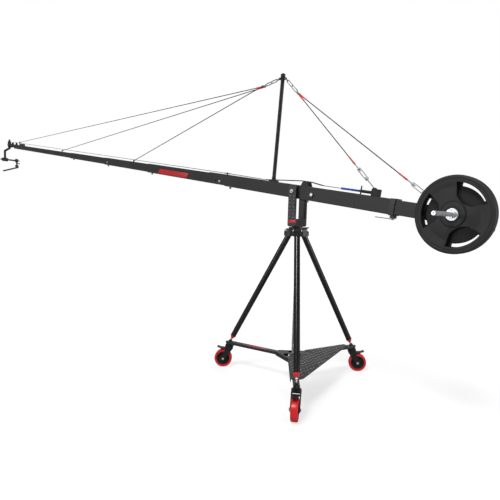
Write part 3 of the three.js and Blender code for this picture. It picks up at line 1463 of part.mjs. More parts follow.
// Tilt arm: cross bar turning in the knuckle, round block with two knobs, plate down to the camera plate
const tiltZ = headSleeveBottom - hangArmDrop;
const rollX = headAxisX;
const rollY = crossBarReach;
const rollZ = tiltZ - sidePlateDrop + rollEarRadius;

function tiltArm() {
  const x = headAxisX;
  const startY = -hangArmOffset + seatGap;
  const crossBar = bar(point(x, startY, tiltZ), point(x, crossBarReach, tiltZ), crossBarDiameter);
  const sideBlock = bar(point(x, crossBarReach - sideBlockLength / 2, tiltZ),
    point(x, crossBarReach + sideBlockLength / 2, tiltZ), sideBlockDiameter);
  const plateHalf = sidePlateWidth / 2;
  const outline = strapOutline(x, tiltZ, plateHalf, x, rollZ, rollEarRadius);
  const plate = slab(outline, crossBarReach - sidePlateThickness / 2, crossBarReach + sidePlateThickness / 2);
  const knobs = [0, -sideKnobPitch].map((drop) => bar(
    point(x, crossBarReach, tiltZ + drop),
      point(x, crossBarReach + sideBlockLength / 2 + sideKnobLength, tiltZ + drop),
    tiltKnobDiameter, smallSides,
  ));
  const pin = bar(point(x - plateHalf, rollY, rollZ), point(x + plateHalf, rollY, rollZ), rollPinDiameter,
    roundSides);
  return join(crossBar, sideBlock, plate, ...knobs, pin);
}
addPiece(head, 'tilt_arm', tiltArm(), blackSatin);

// Camera plate: two ears on the roll pin, slotted plate; drawn level about the pin, then rolled
const cameraHang = new THREE.Group();
cameraHang.position.set(rollX, rollY, rollZ);
cameraHang.rotation.x = radians(cameraRoll);
head.add(cameraHang);

function cameraPlate() {
  const top = -rollEarRadius - rollPlay;
  const halfX = cameraPlateWidth / 2;
  const outline = roundedRectangle(cameraPlateWidth, cameraPlateLength, boomCorner * 2);
  const plateY = rollEarRadius - cameraPlateLength / 2;
  const plate = shifted(raise(outline, top - cameraPlateThickness, top, cornerSteps), 0, plateY, 0);
  const edgeHalf = cameraPlateLength / 2 - boomCorner * 2;
  const foldedEdges = [-halfX, halfX - cameraEdgeThickness].map((x) => block(x, x + cameraEdgeThickness,
    plateY - edgeHalf, plateY + edgeHalf, top - cameraEdgeDepth, top - cameraPlateThickness / 2));
  const earX = sidePlateWidth / 2 + seatGap;
  const earDepth = rollEarRadius * 2;
  const ears = [-1, 1].map((sign) => {
    const [x0, x1] = sign < 0 ? [-halfX + boomCorner, -earX] : [earX, halfX - boomCorner];
    return block(x0, x1, -earDepth / 2, earDepth / 2, top - cameraPlateThickness / 2,
      rollEarRadius - seatGap);
  });
  const slots = [-1, 1].map((sign) => {
    const slot = roundedRectangle(cameraSlotWidth, cameraSlotLength, cameraSlotWidth / 2 - seatGap);
    const opening = raise(slot, top - cameraPlateThickness - overrun, top + overrun, cornerSteps);
    return shifted(opening, sign * cameraSlotSpacing / 2, plateY - rollEarRadius, 0);
  });
  const bore = bar(point(-cameraPlateWidth, 0, 0), point(cameraPlateWidth, 0, 0),
    rollPinDiameter + 2 * seatGap, roundSides);
  return cut(join(plate, ...foldedEdges, ...ears), ...slots, bore);
}
addPiece(cameraHang, 'camera_plate', cameraPlate(), blackSatin);

export default crane;
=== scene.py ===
# %% [markdown]
# A camera jib crane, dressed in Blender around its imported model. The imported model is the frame:
# it fixes every size, place and joint. This lesson rounds its edges, rebuilds the turned and
# moulded pieces as smooth meshes, and gives each surface a finish made from nodes.

import json
import math

import bpy
from mathutils import Matrix, Vector


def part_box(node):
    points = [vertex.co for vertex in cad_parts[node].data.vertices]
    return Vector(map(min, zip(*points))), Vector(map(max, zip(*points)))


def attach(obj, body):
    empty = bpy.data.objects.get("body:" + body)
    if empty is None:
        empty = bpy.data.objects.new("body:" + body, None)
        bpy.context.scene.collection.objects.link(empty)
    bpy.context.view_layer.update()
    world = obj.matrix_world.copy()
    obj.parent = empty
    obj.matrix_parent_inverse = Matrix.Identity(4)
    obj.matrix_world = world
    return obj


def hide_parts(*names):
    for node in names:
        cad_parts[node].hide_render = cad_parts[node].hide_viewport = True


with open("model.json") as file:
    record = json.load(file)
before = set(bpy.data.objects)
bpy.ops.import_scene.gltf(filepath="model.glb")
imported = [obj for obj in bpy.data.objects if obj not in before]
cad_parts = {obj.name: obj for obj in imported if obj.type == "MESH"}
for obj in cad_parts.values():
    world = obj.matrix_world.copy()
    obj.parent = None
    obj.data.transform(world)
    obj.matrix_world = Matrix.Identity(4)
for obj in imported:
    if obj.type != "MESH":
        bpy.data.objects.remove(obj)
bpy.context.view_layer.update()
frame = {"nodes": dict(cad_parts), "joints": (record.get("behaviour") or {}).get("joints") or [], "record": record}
joints = {joint["name"]: joint for joint in frame["joints"]}
body_of = {}
for body, members in frame["record"]["behaviour"]["bodies"].items():
    for member in members:
        body_of[member] = body
slot_of = {entry["node"]: entry["material_slot"] for entry in frame["record"]["subparts"]}
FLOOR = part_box("wheel_tread_front")[0].z
MM = 0.001
scene = bpy.context.scene

# %% [markdown]
# The camera stands low beside the weight and looks along the boom, so the near plate is large
# and the far head small. Its place and lens were worked out from the picture's perspective.
# A small shift and a slight roll put the column where the picture has it.

# %% Camera
CAMERA_PLACE = Vector((1.710, -2.154, 0.913))
CAMERA_AZIMUTH = math.radians(42.05)
CAMERA_DROP = math.radians(4.26)
CAMERA_ROLL = math.radians(1.8)
PICTURE_SIZE = 500
FOCAL_PIXELS = 424.27
MIDDLE_COLUMN = 269.39
SENSOR = 36


def deselect():
    """Nothing is selected after this."""
    bpy.ops.object.select_all(action="DESELECT")


deselect()
bpy.ops.object.camera_add(location=CAMERA_PLACE)
camera = bpy.context.object
camera.name = "camera"
back = Vector((
    math.sin(CAMERA_AZIMUTH) * math.cos(CAMERA_DROP),
    -math.cos(CAMERA_AZIMUTH) * math.cos(CAMERA_DROP),
    math.sin(CAMERA_DROP),
))
right = Vector((math.cos(CAMERA_AZIMUTH), math.sin(CAMERA_AZIMUTH), 0))
turn = Matrix((right, back.cross(right), back)).transposed().to_4x4()
camera.matrix_world = Matrix.Translation(CAMERA_PLACE) @ turn @ Matrix.Rotation(CAMERA_ROLL, 4, "Z")
camera.data.sensor_fit = "HORIZONTAL"
camera.data.sensor_width = SENSOR
camera.data.lens = FOCAL_PIXELS / PICTURE_SIZE * SENSOR
camera.data.shift_x = (PICTURE_SIZE / 2 - MIDDLE_COLUMN) / PICTURE_SIZE
camera.data.clip_start = 0.05
camera.data.clip_end = 200
scene.camera = camera
print("camera lens", round(camera.data.lens, 2), "mm, shift", round(camera.data.shift_x, 4))

# %% [markdown]
# Black equipment is shown in a white room. A wholly white room would grey the paint, so here the
# room is white to the camera alone, and lights the crane at a low level. A light path node tells
# the camera's own rays from the rest.

# %% White room
ROOM_LIGHT = 0.14


def node(tree, kind, place=(0, 0), **settings):
    """Adds a shader node and sets its properties."""
    made = tree.nodes.new(kind)
    made.location = place
    for name, value in settings.items():
        setattr(made, name, value)
    return made


def seen_rays(tree):
    """1 for the camera's own rays, which see the room as white; 0 for the rest."""
    path = node(tree, "ShaderNodeLightPath", (-900, 0))
    return path.outputs["Is Camera Ray"]


world = bpy.data.worlds.new("white_room")
scene.world = world
world.use_nodes = True
tree = world.node_tree
strength = node(tree, "ShaderNodeMapRange", (-250, 0))
strength.inputs["To Min"].default_value = ROOM_LIGHT
strength.inputs["To Max"].default_value = 1.0
tree.links.new(seen_rays(tree), strength.inputs["Value"])
backdrop = tree.nodes["Background"]
backdrop.inputs["Color"].default_value = (1, 1, 1, 1)
tree.links.new(strength.outputs["Result"], backdrop.inputs["Strength"])
print("room light", ROOM_LIGHT)

# %% [markdown]
# Broad suns light all seven metres of the crane alike, which lamps close by could not do. The two
# low ones stand where a leaning leg mirrors them to the camera, so each round tube gets a light
# stripe. The back one lights the far edges.


# %% Suns
def sun(name, azimuth, elevation, power, softness):
    """A broad sun that shines from an azimuth round the crane and a height above the horizon."""
    deselect()
    bpy.ops.object.light_add(type="SUN")
    lamp = bpy.context.object
    lamp.name = name
    lamp.rotation_euler = (math.radians(90 - elevation), 0, math.radians(azimuth))
    lamp.data.energy = power
    lamp.data.angle = math.radians(softness)
    return lamp


sun("key_light", 8, 56, 1.7, 18)
sun("left_light", -24, 7, 0.55, 14)
sun("right_light", 108, 7, 1.2, 14)
sun("back_light", 215, 45, 0.8, 36)

# %% [markdown]
# The wheels throw a pale shadow on a floor that has no edge. A plain white floor would burn out or
# turn grey, so this one is part glow and part matt: the glow makes it white to the camera, the
# matt part takes the shadow.

# %% Floor
FLOOR_SIZE = 120
FLOOR_GLOW = 0.7
FLOOR_TONE = 0.42

deselect()
bpy.ops.mesh.primitive_plane_add(size=FLOOR_SIZE, location=(0, 0, FLOOR))
floor = bpy.context.object
floor.name = "floor"
floor_look = bpy.data.materials.new("pale_floor")
floor_look.use_nodes = True
tree = floor_look.node_tree
tree.nodes.remove(tree.nodes["Principled BSDF"])
matt = node(tree, "ShaderNodeBsdfDiffuse", (0, -150))
matt.inputs["Color"].default_value = (FLOOR_TONE, FLOOR_TONE, FLOOR_TONE, 1)
glow = node(tree, "ShaderNodeEmission", (0, 100))
glow_level = node(tree, "ShaderNodeMath", (-250, 100), operation="MULTIPLY")
glow_level.inputs[1].default_value = FLOOR_GLOW
tree.links.new(seen_rays(tree), glow_level.inputs[0])
tree.links.new(glow_level.outputs[0], glow.inputs["Strength"])
both = node(tree, "ShaderNodeAddShader", (250, 0))
tree.links.new(matt.outputs[0], both.inputs[0])
tree.links.new(glow.outputs[0], both.inputs[1])
tree.links.new(both.outputs[0], tree.nodes["Material Output"].inputs["Surface"])
floor.data.materials.append(floor_look)
scene.view_settings.view_transform = "Standard"
print("floor at", round(FLOOR, 4))

# %% [markdown]
# A black crane is many kinds of black: powder coat has a fine orange peel, anodised tube is
# smoother, moulded plastic is dull, rubber is duller. Each finish is a small node tree. Soft
# noise shifts its colour and gloss by a few per cent, and fine noise raises its grain.

# %% How a finish is made
PATCH_DETAIL = 6
GRAIN_DETAIL = 3
RAMP_ENDS = (0.3, 0.7)
BUMP_STRENGTH = 0.5
finishes = {}


def finish(name, dark, light, gloss, metallic=0.0, patch=9, grain=900, depth=0.00002):
    """A surface with two close tones, a band of roughness and a fine raised grain."""
    look = bpy.data.materials.new(name)
    look.use_nodes = True
    tree = look.node_tree
    shader = tree.nodes["Principled BSDF"]
    shader.inputs["Metallic"].default_value = metallic
    place = node(tree, "ShaderNodeTexCoord", (-1100, 0))
    patches = node(tree, "ShaderNodeTexNoise", (-800, 150))
    patches.inputs["Scale"].default_value = patch
    patches.inputs["Detail"].default_value = PATCH_DETAIL
    grains = node(tree, "ShaderNodeTexNoise", (-800, -200))
    grains.inputs["Scale"].default_value = grain
    grains.inputs["Detail"].default_value = GRAIN_DETAIL
    for noise in (patches, grains):
        tree.links.new(place.outputs["Object"], noise.inputs["Vector"])
    tones = node(tree, "ShaderNodeValToRGB", (-500, 250))
    for element, end, tone in zip(tones.color_ramp.elements, RAMP_ENDS, (dark, light)):
        element.position = end
        element.color = (*tone, 1)
    tree.links.new(patches.outputs["Fac"], tones.inputs["Fac"])
    tree.links.new(tones.outputs["Color"], shader.inputs["Base Color"])
    sheen = node(tree, "ShaderNodeMapRange", (-500, 0))
    sheen.inputs["To Min"].default_value = gloss[0]
    sheen.inputs["To Max"].default_value = gloss[1]
    tree.links.new(patches.outputs["Fac"], sheen.inputs["Value"])
    tree.links.new(sheen.outputs["Result"], shader.inputs["Roughness"])
    bump = node(tree, "ShaderNodeBump", (-300, -250))
    bump.inputs["Strength"].default_value = BUMP_STRENGTH
    bump.inputs["Distance"].default_value = depth
    tree.links.new(grains.outputs["Fac"], bump.inputs["Height"])
    tree.links.new(bump.outputs["Normal"], shader.inputs["Normal"])
    finishes[name] = look
    return look


def grey(level):
    """A grey a little towards blue, as black paint looks in daylight."""
    return (level, level, level * 1.06)


print("a coated grey", grey(0.02))

# %% [markdown]
# The picture shows the boom and the plate as the lightest blacks, the legs and forks as the
# darkest. The steel is given as half metal, because the room that it would mirror is dim here.
# The reds and the blue are strong and even, as on powder coat, polyurethane and shrink sleeve.

# %% The crane's finishes
finish("powder_coat", grey(0.019), grey(0.029), (0.46, 0.60), patch=5, grain=700, depth=0.00005)
finish("satin_tube", grey(0.006), grey(0.010), (0.20, 0.28), patch=7, grain=900, depth=0.000004)
finish("cast_black", grey(0.010), grey(0.017), (0.36, 0.52), patch=30, grain=500, depth=0.00006)
finish("fork_paint", grey(0.008), grey(0.012), (0.22, 0.36), patch=22, grain=600)
finish("moulded_black", grey(0.009), grey(0.014), (0.5, 0.66), patch=25, grain=1200, depth=0.00004)
finish("tread_metal", grey(0.11), grey(0.16), (0.3, 0.45), metallic=0.2, patch=18, grain=500)
finish("arm_coat", grey(0.030), grey(0.044), (0.34, 0.5), patch=18, grain=500, depth=0.00005)
finish("plate_coat", grey(0.017), grey(0.026), (0.54, 0.68), patch=16, grain=420, depth=0.00012)
# The plate's coat again, painted darker: painted shade for its grips and slots.
finish("plate_recess_painted_shade", grey(0.008), grey(0.013), (0.6, 0.75), patch=16, grain=380, depth=0.0002)
finish("plated_steel", (0.58, 0.59, 0.61), (0.76, 0.77, 0.79), (0.22, 0.36), 0.5, patch=40, grain=800)
finish("zinc_steel", (0.24, 0.245, 0.26), (0.38, 0.385, 0.40), (0.34, 0.48), 0.7, patch=60, grain=900)
finish("strand_steel", (0.05, 0.05, 0.055), (0.12, 0.12, 0.125), (0.35, 0.5), 0.6, patch=260, grain=900)
finish("red_wheel", (0.76, 0.016, 0.022), (0.88, 0.03, 0.036), (0.24, 0.36), patch=30, grain=500)
finish("red_paint", (0.60, 0.012, 0.016), (0.70, 0.022, 0.026), (0.3, 0.42), patch=12, grain=900)
finish("cable_jacket", grey(0.006), grey(0.010), (0.4, 0.55), patch=120, grain=1200)
finish("red_sleeve", (0.72, 0.016, 0.02), (0.85, 0.03, 0.035), (0.34, 0.46), patch=90, grain=1500)
finish("blue_sleeve", (0.018, 0.07, 0.42), (0.03, 0.11, 0.55), (0.34, 0.46), patch=90, grain=1500)
print("finishes", len(finishes))

# %% [markdown]
# Every piece made here stands on one body of the frame and moves with it, and most stand for a
# node. The frame's own meshes stay as they are. Modifiers are applied at once, so what is seen is
# the mesh itself.

# %% Helpers for placing
ROUND_UNDER = math.radians(32)


def pick(piece):
    """Makes one object the only selected and the active one."""
    deselect()
    piece.select_set(True)
    bpy.context.view_layer.objects.active = piece
    return piece


def apply_modifier(piece, kind, **settings):
    """Adds a modifier, sets it and applies it at once."""
    pick(piece)
    modifier = piece.modifiers.new(kind.lower(), kind)
    for name, value in settings.items():
        setattr(modifier, name, value)
    bpy.ops.object.modifier_apply(modifier=modifier.name)


def smooth(piece, angle=ROUND_UNDER):
    """Smooth over gentle turns, crisp over sharp ones."""
    pick(piece)
    bpy.ops.object.shade_smooth_by_angle(angle=angle)
    return piece


def seat(piece, look, *nodes, body=None, slot=None):
    """Finishes a piece, lets it ride on its body, and lets it stand for the nodes named."""
    piece.data.materials.clear()
    piece.data.materials.append(finishes[look])
    first = nodes[0] if nodes else None
    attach(piece, body or body_of[first])
    if nodes:
        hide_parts(*nodes)
    return piece


print("crisp edges over", round(math.degrees(ROUND_UNDER)), "degrees")

# %% [markdown]
# A frame's mesh is loose triangles. Welding it and dissolving its flat faces leaves true corners
# only, so the bevel rounds the real edges and nothing else. Weighted normals keep the flats flat.

# %% Helper for softening
WELD = 0.00002
FLAT = math.radians(0.6)
EDGE_ROUND = 0.0006


def softened(name):
    """A welded copy of a node's mesh with a small round along its edges."""
    piece = bpy.data.objects.new(name + "_finished", frame["nodes"][name].data.copy())
    scene.collection.objects.link(piece)
    pick(piece)
    bpy.ops.object.mode_set(mode="EDIT")
    bpy.ops.mesh.select_all(action="SELECT")
    bpy.ops.mesh.remove_doubles(threshold=WELD)
    bpy.ops.mesh.dissolve_limited(angle_limit=FLAT)
    bpy.ops.object.mode_set(mode="OBJECT")
    apply_modifier(piece, "BEVEL", width=EDGE_ROUND, segments=2, limit_method="ANGLE",
                   angle_limit=ROUND_UNDER, use_clamp_overlap=True)
    smooth(piece)
    apply_modifier(piece, "WEIGHTED_NORMAL", keep_sharp=True)
    return piece


print("edge round", EDGE_ROUND / MM, "mm")

# %% [markdown]
# Round pieces are turned from half an outline, sheet pieces are cut from a whole one, and wires
# follow a line. Each drawing starts from one corner that is pushed on point by point, as an
# outline is laid out by hand in edit mode. Outlines are in millimetres.

# %% Helpers for drawing outlines
def placed(piece, place):
    """Moves the mesh itself, so that the object stays at the frame's origin."""
    piece.data.transform(place)
    piece.data.update()
    return piece


def drawn(name, points):
    """A chain of edges: one corner at the first point, pushed on to each next one."""
    deselect()
    bpy.ops.mesh.primitive_plane_add(size=MM)
    piece = bpy.context.object
    piece.name = name
    points = [Vector(corner) for corner in points]
    bpy.ops.object.mode_set(mode="EDIT")
    bpy.ops.mesh.select_all(action="SELECT")
    bpy.ops.mesh.merge(type="CENTER")
    bpy.ops.transform.translate(value=points[0])
    for here, there in zip(points, points[1:]):
        bpy.ops.mesh.extrude_region_move(TRANSFORM_OT_translate={"value": there - here})
    bpy.ops.object.mode_set(mode="OBJECT")
    return piece


def turned(name, outline, place, steps=40):
    """Spins half an outline of (radius, height) once round and puts it in place."""
    piece = drawn(name, [(radius * MM, 0, height * MM) for radius, height in outline])
    bpy.ops.object.mode_set(mode="EDIT")
    bpy.ops.mesh.select_all(action="SELECT")
    bpy.ops.mesh.spin(steps=steps, angle=math.tau, center=(0, 0, 0), axis=(0, 0, 1))
    bpy.ops.mesh.select_all(action="SELECT")
    bpy.ops.mesh.remove_doubles(threshold=WELD / 2)
    bpy.ops.mesh.normals_make_consistent(inside=False)
    bpy.ops.object.mode_set(mode="OBJECT")
    return placed(smooth(piece), place)


def outlined(name, outline, depth, place, chamfer=0.0):
    """Fills an outline of (x, y), pushes it up by a depth, eases its edges and puts it in place."""
    piece = drawn(name, [(x * MM, y * MM, 0) for x, y in outline])
    bpy.ops.object.mode_set(mode="EDIT")
    bpy.ops.mesh.select_all(action="SELECT")
    bpy.ops.mesh.edge_face_add()
    bpy.ops.mesh.extrude_region_move(TRANSFORM_OT_translate={"value": (0, 0, depth * MM)})
    bpy.ops.mesh.select_all(action="SELECT")
    bpy.ops.mesh.normals_make_consistent(inside=False)
    bpy.ops.object.mode_set(mode="OBJECT")
    if chamfer:
        apply_modifier(piece, "BEVEL", width=chamfer * MM, segments=2, limit_method="ANGLE",
                       angle_limit=ROUND_UNDER)
    return placed(smooth(piece), place)


print("drawn pieces start from a corner of", MM, "m")

# %% [markdown]
# A wire is a chain of edges turned into a curve with a round section, and back into a mesh. What
# repeats on the crane is made once, and its copies get a mesh of their own.

# %% Helpers for wires and copies
WIRE_SMOOTH = math.radians(60)


def wired(name, points, diameter):
    """A round wire along a line of points in metres."""
    piece = pick(drawn(name, points))
    bpy.ops.object.convert(target="CURVE")
    piece.data.bevel_depth = diameter * MM / 2
    piece.data.bevel_resolution = 2
    piece.data.use_fill_caps = True
    bpy.ops.object.convert(target="MESH")
    return smooth(piece, WIRE_SMOOTH)


def joined(name, pieces):
    """Makes several meshes one object."""
    pick(pieces[0])
    for piece in pieces:
        piece.select_set(True)
    bpy.ops.object.join()
    pieces[0].name = name
    return pieces[0]


def copied(piece, name, place):
    """A copy with a mesh of its own, put in another place."""
    twin = bpy.data.objects.new(name, piece.data.copy())
    scene.collection.objects.link(twin)
    return placed(twin, place)


def aimed(start, end):
    """A place at the start with its own Z towards the end."""
    turn = (end - start).to_track_quat("Z", "Y").to_matrix().to_4x4()
    return Matrix.Translation(start) @ turn


def circle(radius, sides):
    """Corners of a regular outline."""
    turns = [math.tau * i / sides for i in range(sides)]
    return [(radius * math.cos(turn), radius * math.sin(turn)) for turn in turns]


print("a hexagon's first corner", circle(1, 6)[0])

# %% [markdown]
# The boom rests tilted, as in the picture. Its pieces are drawn along its own lines: along it
# from the pivot, to its side, and above its middle. This place turns them into the scene.

# %% The boom's own place
BOOM_TILT = math.radians(8.1)
PIVOT_HEIGHT = joints["boom_tilt"]["pos_m"][2]
BOOM = Matrix.Translation((0, 0, PIVOT_HEIGHT)) @ Matrix.Rotation(BOOM_TILT, 4, "Y")
FACING_NEAR = Matrix.Rotation(math.radians(90), 4, "X")


def on_boom(along, side, up):
    """A point given along the boom from its pivot, to its side and above its middle line, in mm."""
    return BOOM @ Vector((along * MM, side * MM, up * MM))


print("boom frame at", [round(value, 4) for value in BOOM.translation])

# %% [markdown]
# The weight is an iron plate in a rubber-like coat. Such plates are cast, so the disc is turned
# first, with its hub ring, sunk face and rolled rim. It is drawn lying flat, in millimetres, and
# put in place last.

# %% Weight plate, turned disc
PLATE_RADIUS = 186
PLATE_ALONG, PLATE_SIDE, PLATE_UP = 1.018, -0.086, 0.012
PLATE = BOOM @ Matrix.Translation((PLATE_ALONG, PLATE_SIDE, PLATE_UP)) @ FACING_NEAR
disc = turned("weight_plate_disc", [
    (25.6, -27.5), (56, -27.5), (60, -24.5), (174, -24.5), (182, -20), (186, -14), (186, 15),
    (185, 19.5), (182, 23), (177.5, 24.5), (171, 24.5), (169, 22.6), (165.5, 22.6), (163.5, 24.5),
    (147, 24.5), (135, 20.6), (118, 20.6), (116, 21.4), (64, 21.4), (62, 20), (59.5, 20), (57.5, 26.2),
    (55, 27.5), (34, 27.5), (31, 26.2), (25.6, 26.2), (25.6, -27.5),
], Matrix(), steps=120)
print("disc faces", len(disc.data.polygons))

# %% [markdown]
# Three grips are dished into the face, and behind each a slot goes right through near the rim, so
# that a hand can close round it. A grip's outline is an arc along the rim and one soft curve
# towards the hub, drawn from three points. Solid cutters take both away.

# %% Weight plate, grips and slots
GRIP_ANGLES = (61, 181, 301)
GRIP_HALF, CORNER_HALF, SLOT_HALF = 34, 30.6, 28
RIM_SHARE, SLOT_SHARE, CORNER_SHARE, DEEPEST_SHARE = 0.82, 0.735, 0.5, 0.273
GRIP_FLOOR, SLOT_FOOT, CUTTER_HEIGHT = -5.5, -32, 40
CURVE_STEPS = 12


def at_plate(angle, share):
    """A point on the plate's face at an angle and a share of its radius."""
    angle = math.radians(angle)
    return (PLATE_RADIUS * share * math.cos(angle), PLATE_RADIUS * share * math.sin(angle))


def plate_arc(middle, half, share, steps):
    """Points along an arc round the plate's middle."""
    return [at_plate(middle - half + 2 * half * i / steps, share) for i in range(steps + 1)]


def bent_line(first, pull, last):
    """Points between two ends along a curve that leans towards a third point."""
    line = []
    for i in range(1, CURVE_STEPS):
        t = i / CURVE_STEPS
        line.append(tuple((1 - t) ** 2 * a + 2 * t * (1 - t) * b + t * t * c
                          for a, b, c in zip(first, pull, last)))
    return line


cutters = []
for middle in GRIP_ANGLES:
    first = at_plate(middle + CORNER_HALF, CORNER_SHARE)
    last = at_plate(middle - CORNER_HALF, CORNER_SHARE)
    curve = bent_line(first, at_plate(middle, DEEPEST_SHARE), last)
    dish = plate_arc(middle, GRIP_HALF, RIM_SHARE, 14) + [first] + curve + [last]
    grip_place = Matrix.Translation((0, 0, GRIP_FLOOR * MM))
    cutters.append(outlined("grip_dish", dish, CUTTER_HEIGHT, grip_place))
    slot_line = plate_arc(middle, SLOT_HALF, RIM_SHARE, 12)
    slot_line += reversed(plate_arc(middle, SLOT_HALF, SLOT_SHARE, 12))
    slot_place = Matrix.Translation((0, 0, SLOT_FOOT * MM))
    cutters.append(outlined("grip_slot", slot_line, CUTTER_HEIGHT, slot_place))
for cutter in cutters:
    apply_modifier(disc, "BOOLEAN", object=cutter, operation="DIFFERENCE", solver="EXACT")
    bpy.data.objects.remove(cutter)
print("cuts", len(cutters))

# %% [markdown]
# The thick coat rounds every edge of the casting, so a bevel comes after the cuts. The faces in the grips and
# slots take a second material, a darker and duller copy of the coat: painted shade, which leaves the face around
# them lighter.

# %% Weight plate, coat
COAT_ROUND = 1.6
# Faces inside these bounds are the grip and slot walls and floors, which get the painted shade.
SHADED_INNER, SHADED_OUTER = 30, 0.83 * PLATE_RADIUS
SHADED_LOW, SHADED_HIGH = -23, 19.5

apply_modifier(disc, "BEVEL", width=COAT_ROUND * MM, segments=2, limit_method="ANGLE",
               angle_limit=math.radians(50))
smooth(disc, math.radians(40))
seat(disc, "plate_coat", "weight_plate")
# The second material is painted shade: the same coat, darker, on the grips and slots.
disc.data.materials.append(finishes["plate_recess_painted_shade"])
for face in disc.data.polygons:
    reach = math.hypot(face.center.x, face.center.y) / MM
    if SHADED_INNER < reach < SHADED_OUTER and SHADED_LOW < face.center.z / MM < SHADED_HIGH:
        face.material_index = 1
placed(disc, PLATE)
print("weight plate faces", len(disc.data.polygons))

# %% [markdown]
# The plate hangs on a plated bar through the tail tube: a flange behind it, a sleeve in its bore,
# a round collar and a smaller step in front, and a hexagon nut on the far side. It is turned as
# one bar, with small chamfers that catch the light, and the nut is cut from a hexagon.

# %% Weight spindle
SPINDLE = BOOM @ Matrix.Translation((PLATE_ALONG, 0, PLATE_UP)) @ FACING_NEAR
NUT_FOOT, NUT_RADIUS, NUT_HEIGHT = -44.7, 17, 12
bar = turned("spindle_bar", [
    (0, -44.7), (9.5, -44.7), (11, -43.2), (11, 33), (39, 33), (40, 34), (40, 57), (39, 58), (25, 58.2),
    (25, 113.6), (28.5, 113.6), (29.5, 114.6), (29.5, 124.4), (28, 125.8), (24, 125.8), (23, 124.9),
    (20, 124.9), (19, 125.8), (18.5, 125.8), (18.5, 131.6), (17.3, 132.8), (11, 132.8), (11, 343),
    (9, 345), (3, 345), (2.6, 338), (0, 337),
], SPINDLE, steps=48)
nut = outlined("spindle_nut", circle(NUT_RADIUS, 6), NUT_HEIGHT,
               SPINDLE @ Matrix.Translation((0, 0, NUT_FOOT * MM)), 0.8)
seat(joined("weight_spindle_finished", [bar, nut]), "plated_steel", "weight_spindle")

# %% [markdown]
# The three legs lean in from the base arms to the crown. The picture gives the arms' directions,
# and the lean follows from where a leg's foot and top lie: how far out and how high.

# %% Where the legs stand
ARM_ANGLES = {"front": -48.3, "right": 71.7, "left": -168.3}
LEG_FOOT_REACH, LEG_FOOT_HEIGHT = 500, 31
LEG_TOP_REACH, LEG_TOP_HEIGHT = 66, 793
LEG_LEAN = math.atan2(LEG_FOOT_REACH - LEG_TOP_REACH, LEG_TOP_HEIGHT - LEG_FOOT_HEIGHT)


def round_crane(name):
    """A turn about the column to the direction of one arm."""
    return Matrix.Rotation(math.radians(ARM_ANGLES[name]), 4, "Z")


def leg_place(name):
    """The foot of a leg, with its own Z up the tube."""
    foot = Matrix.Translation((LEG_FOOT_REACH * MM, 0, LEG_FOOT_HEIGHT * MM))
    return round_crane(name) @ foot @ Matrix.Rotation(-LEG_LEAN, 4, "Y")


print("legs lean", round(math.degrees(LEG_LEAN), 2), "degrees")

# %% [markdown]
# The legs are satin black tubes. Each ends in a red cone that slides over its spigot and in a
# bright stud whose ball sits in the arm's clevis. One leg is turned upright, and a copy is put in
# each of the three places. The ball is new, and the rest of the stud is the softened node.

# %% Legs, cones and studs
tube = turned("leg", [
    (16.9, 48.4), (18.6, 48.4), (19, 48.9), (19, 902.4), (18.6, 902.9), (16.9, 902.9), (16.9, 48.4),
], Matrix(), steps=56)
cone = turned("cone", [
    (6.3, 25.4), (10.2, 25.4), (11, 26.2), (12.2, 29), (19.2, 42.5), (20.3, 44.6), (20.5, 46.6),
    (20.1, 47.8), (19.2, 48.1), (6.3, 48.1), (6.3, 25.4),
], Matrix(), steps=48)
stud = turned("stud", [
    (0, 9.5), (3.5, 10.2), (6.4, 12.2), (8.3, 15), (9, 18.5), (8.3, 22), (6.6, 24.4), (5.9, 25.2),
    (5.9, 57.5), (0, 57.5),
], Matrix(), steps=32)
for name in ARM_ANGLES:
    place = leg_place(name)
    seat(copied(tube, "leg_tube_" + name + "_finished", place), "satin_tube", "leg_tube_" + name)
    seat(copied(cone, "leg_cone_" + name + "_finished", place), "red_wheel", "leg_cone_" + name)
    ball = copied(stud, "ball_" + name, place)
    seat(joined("leg_stud_" + name + "_finished", [ball, softened("leg_stud_" + name)]), "plated_steel",
         "leg_stud_" + name)
for piece in (tube, cone, stud):
    bpy.data.objects.remove(piece)
print("legs", len(ARM_ANGLES))

# %% [markdown]
# The middle column is a long threaded rod: the picture shows its speckled light edge beside the
# front leg. Its thread is a row of small ridges up the turned outline. A true helix would look the
# same from here and cost far more faces.

# %% Middle column
ROD_FOOT, ROD_TOP = 23.3, 806.7
THREAD_FOOT, THREAD_TOP, THREAD_PITCH = 30, 800, 8
ROOT_RADIUS, CREST_RADIUS = 6, 7

thread = [(0, ROD_FOOT), (ROOT_RADIUS, ROD_FOOT)]
for height in range(THREAD_FOOT, THREAD_TOP, THREAD_PITCH):
    thread += [(ROOT_RADIUS, height), (CREST_RADIUS, height + 2.2), (CREST_RADIUS, height + 3.4),
               (ROOT_RADIUS, height + 5.6)]
thread += [(ROOT_RADIUS, ROD_TOP), (0, ROD_TOP)]
seat(turned("center_column_finished", thread, Matrix(), steps=20), "zinc_steel", "center_column")
print("thread ridges", (len(thread) - 4) // 4)

# %% [markdown]
# The wheels have red polyurethane treads on black moulded centres with a dished face and five
# ribs. The centre's outline is drawn for one half and mirrored. A bright nut with a domed axle end
# caps each side of the fork.

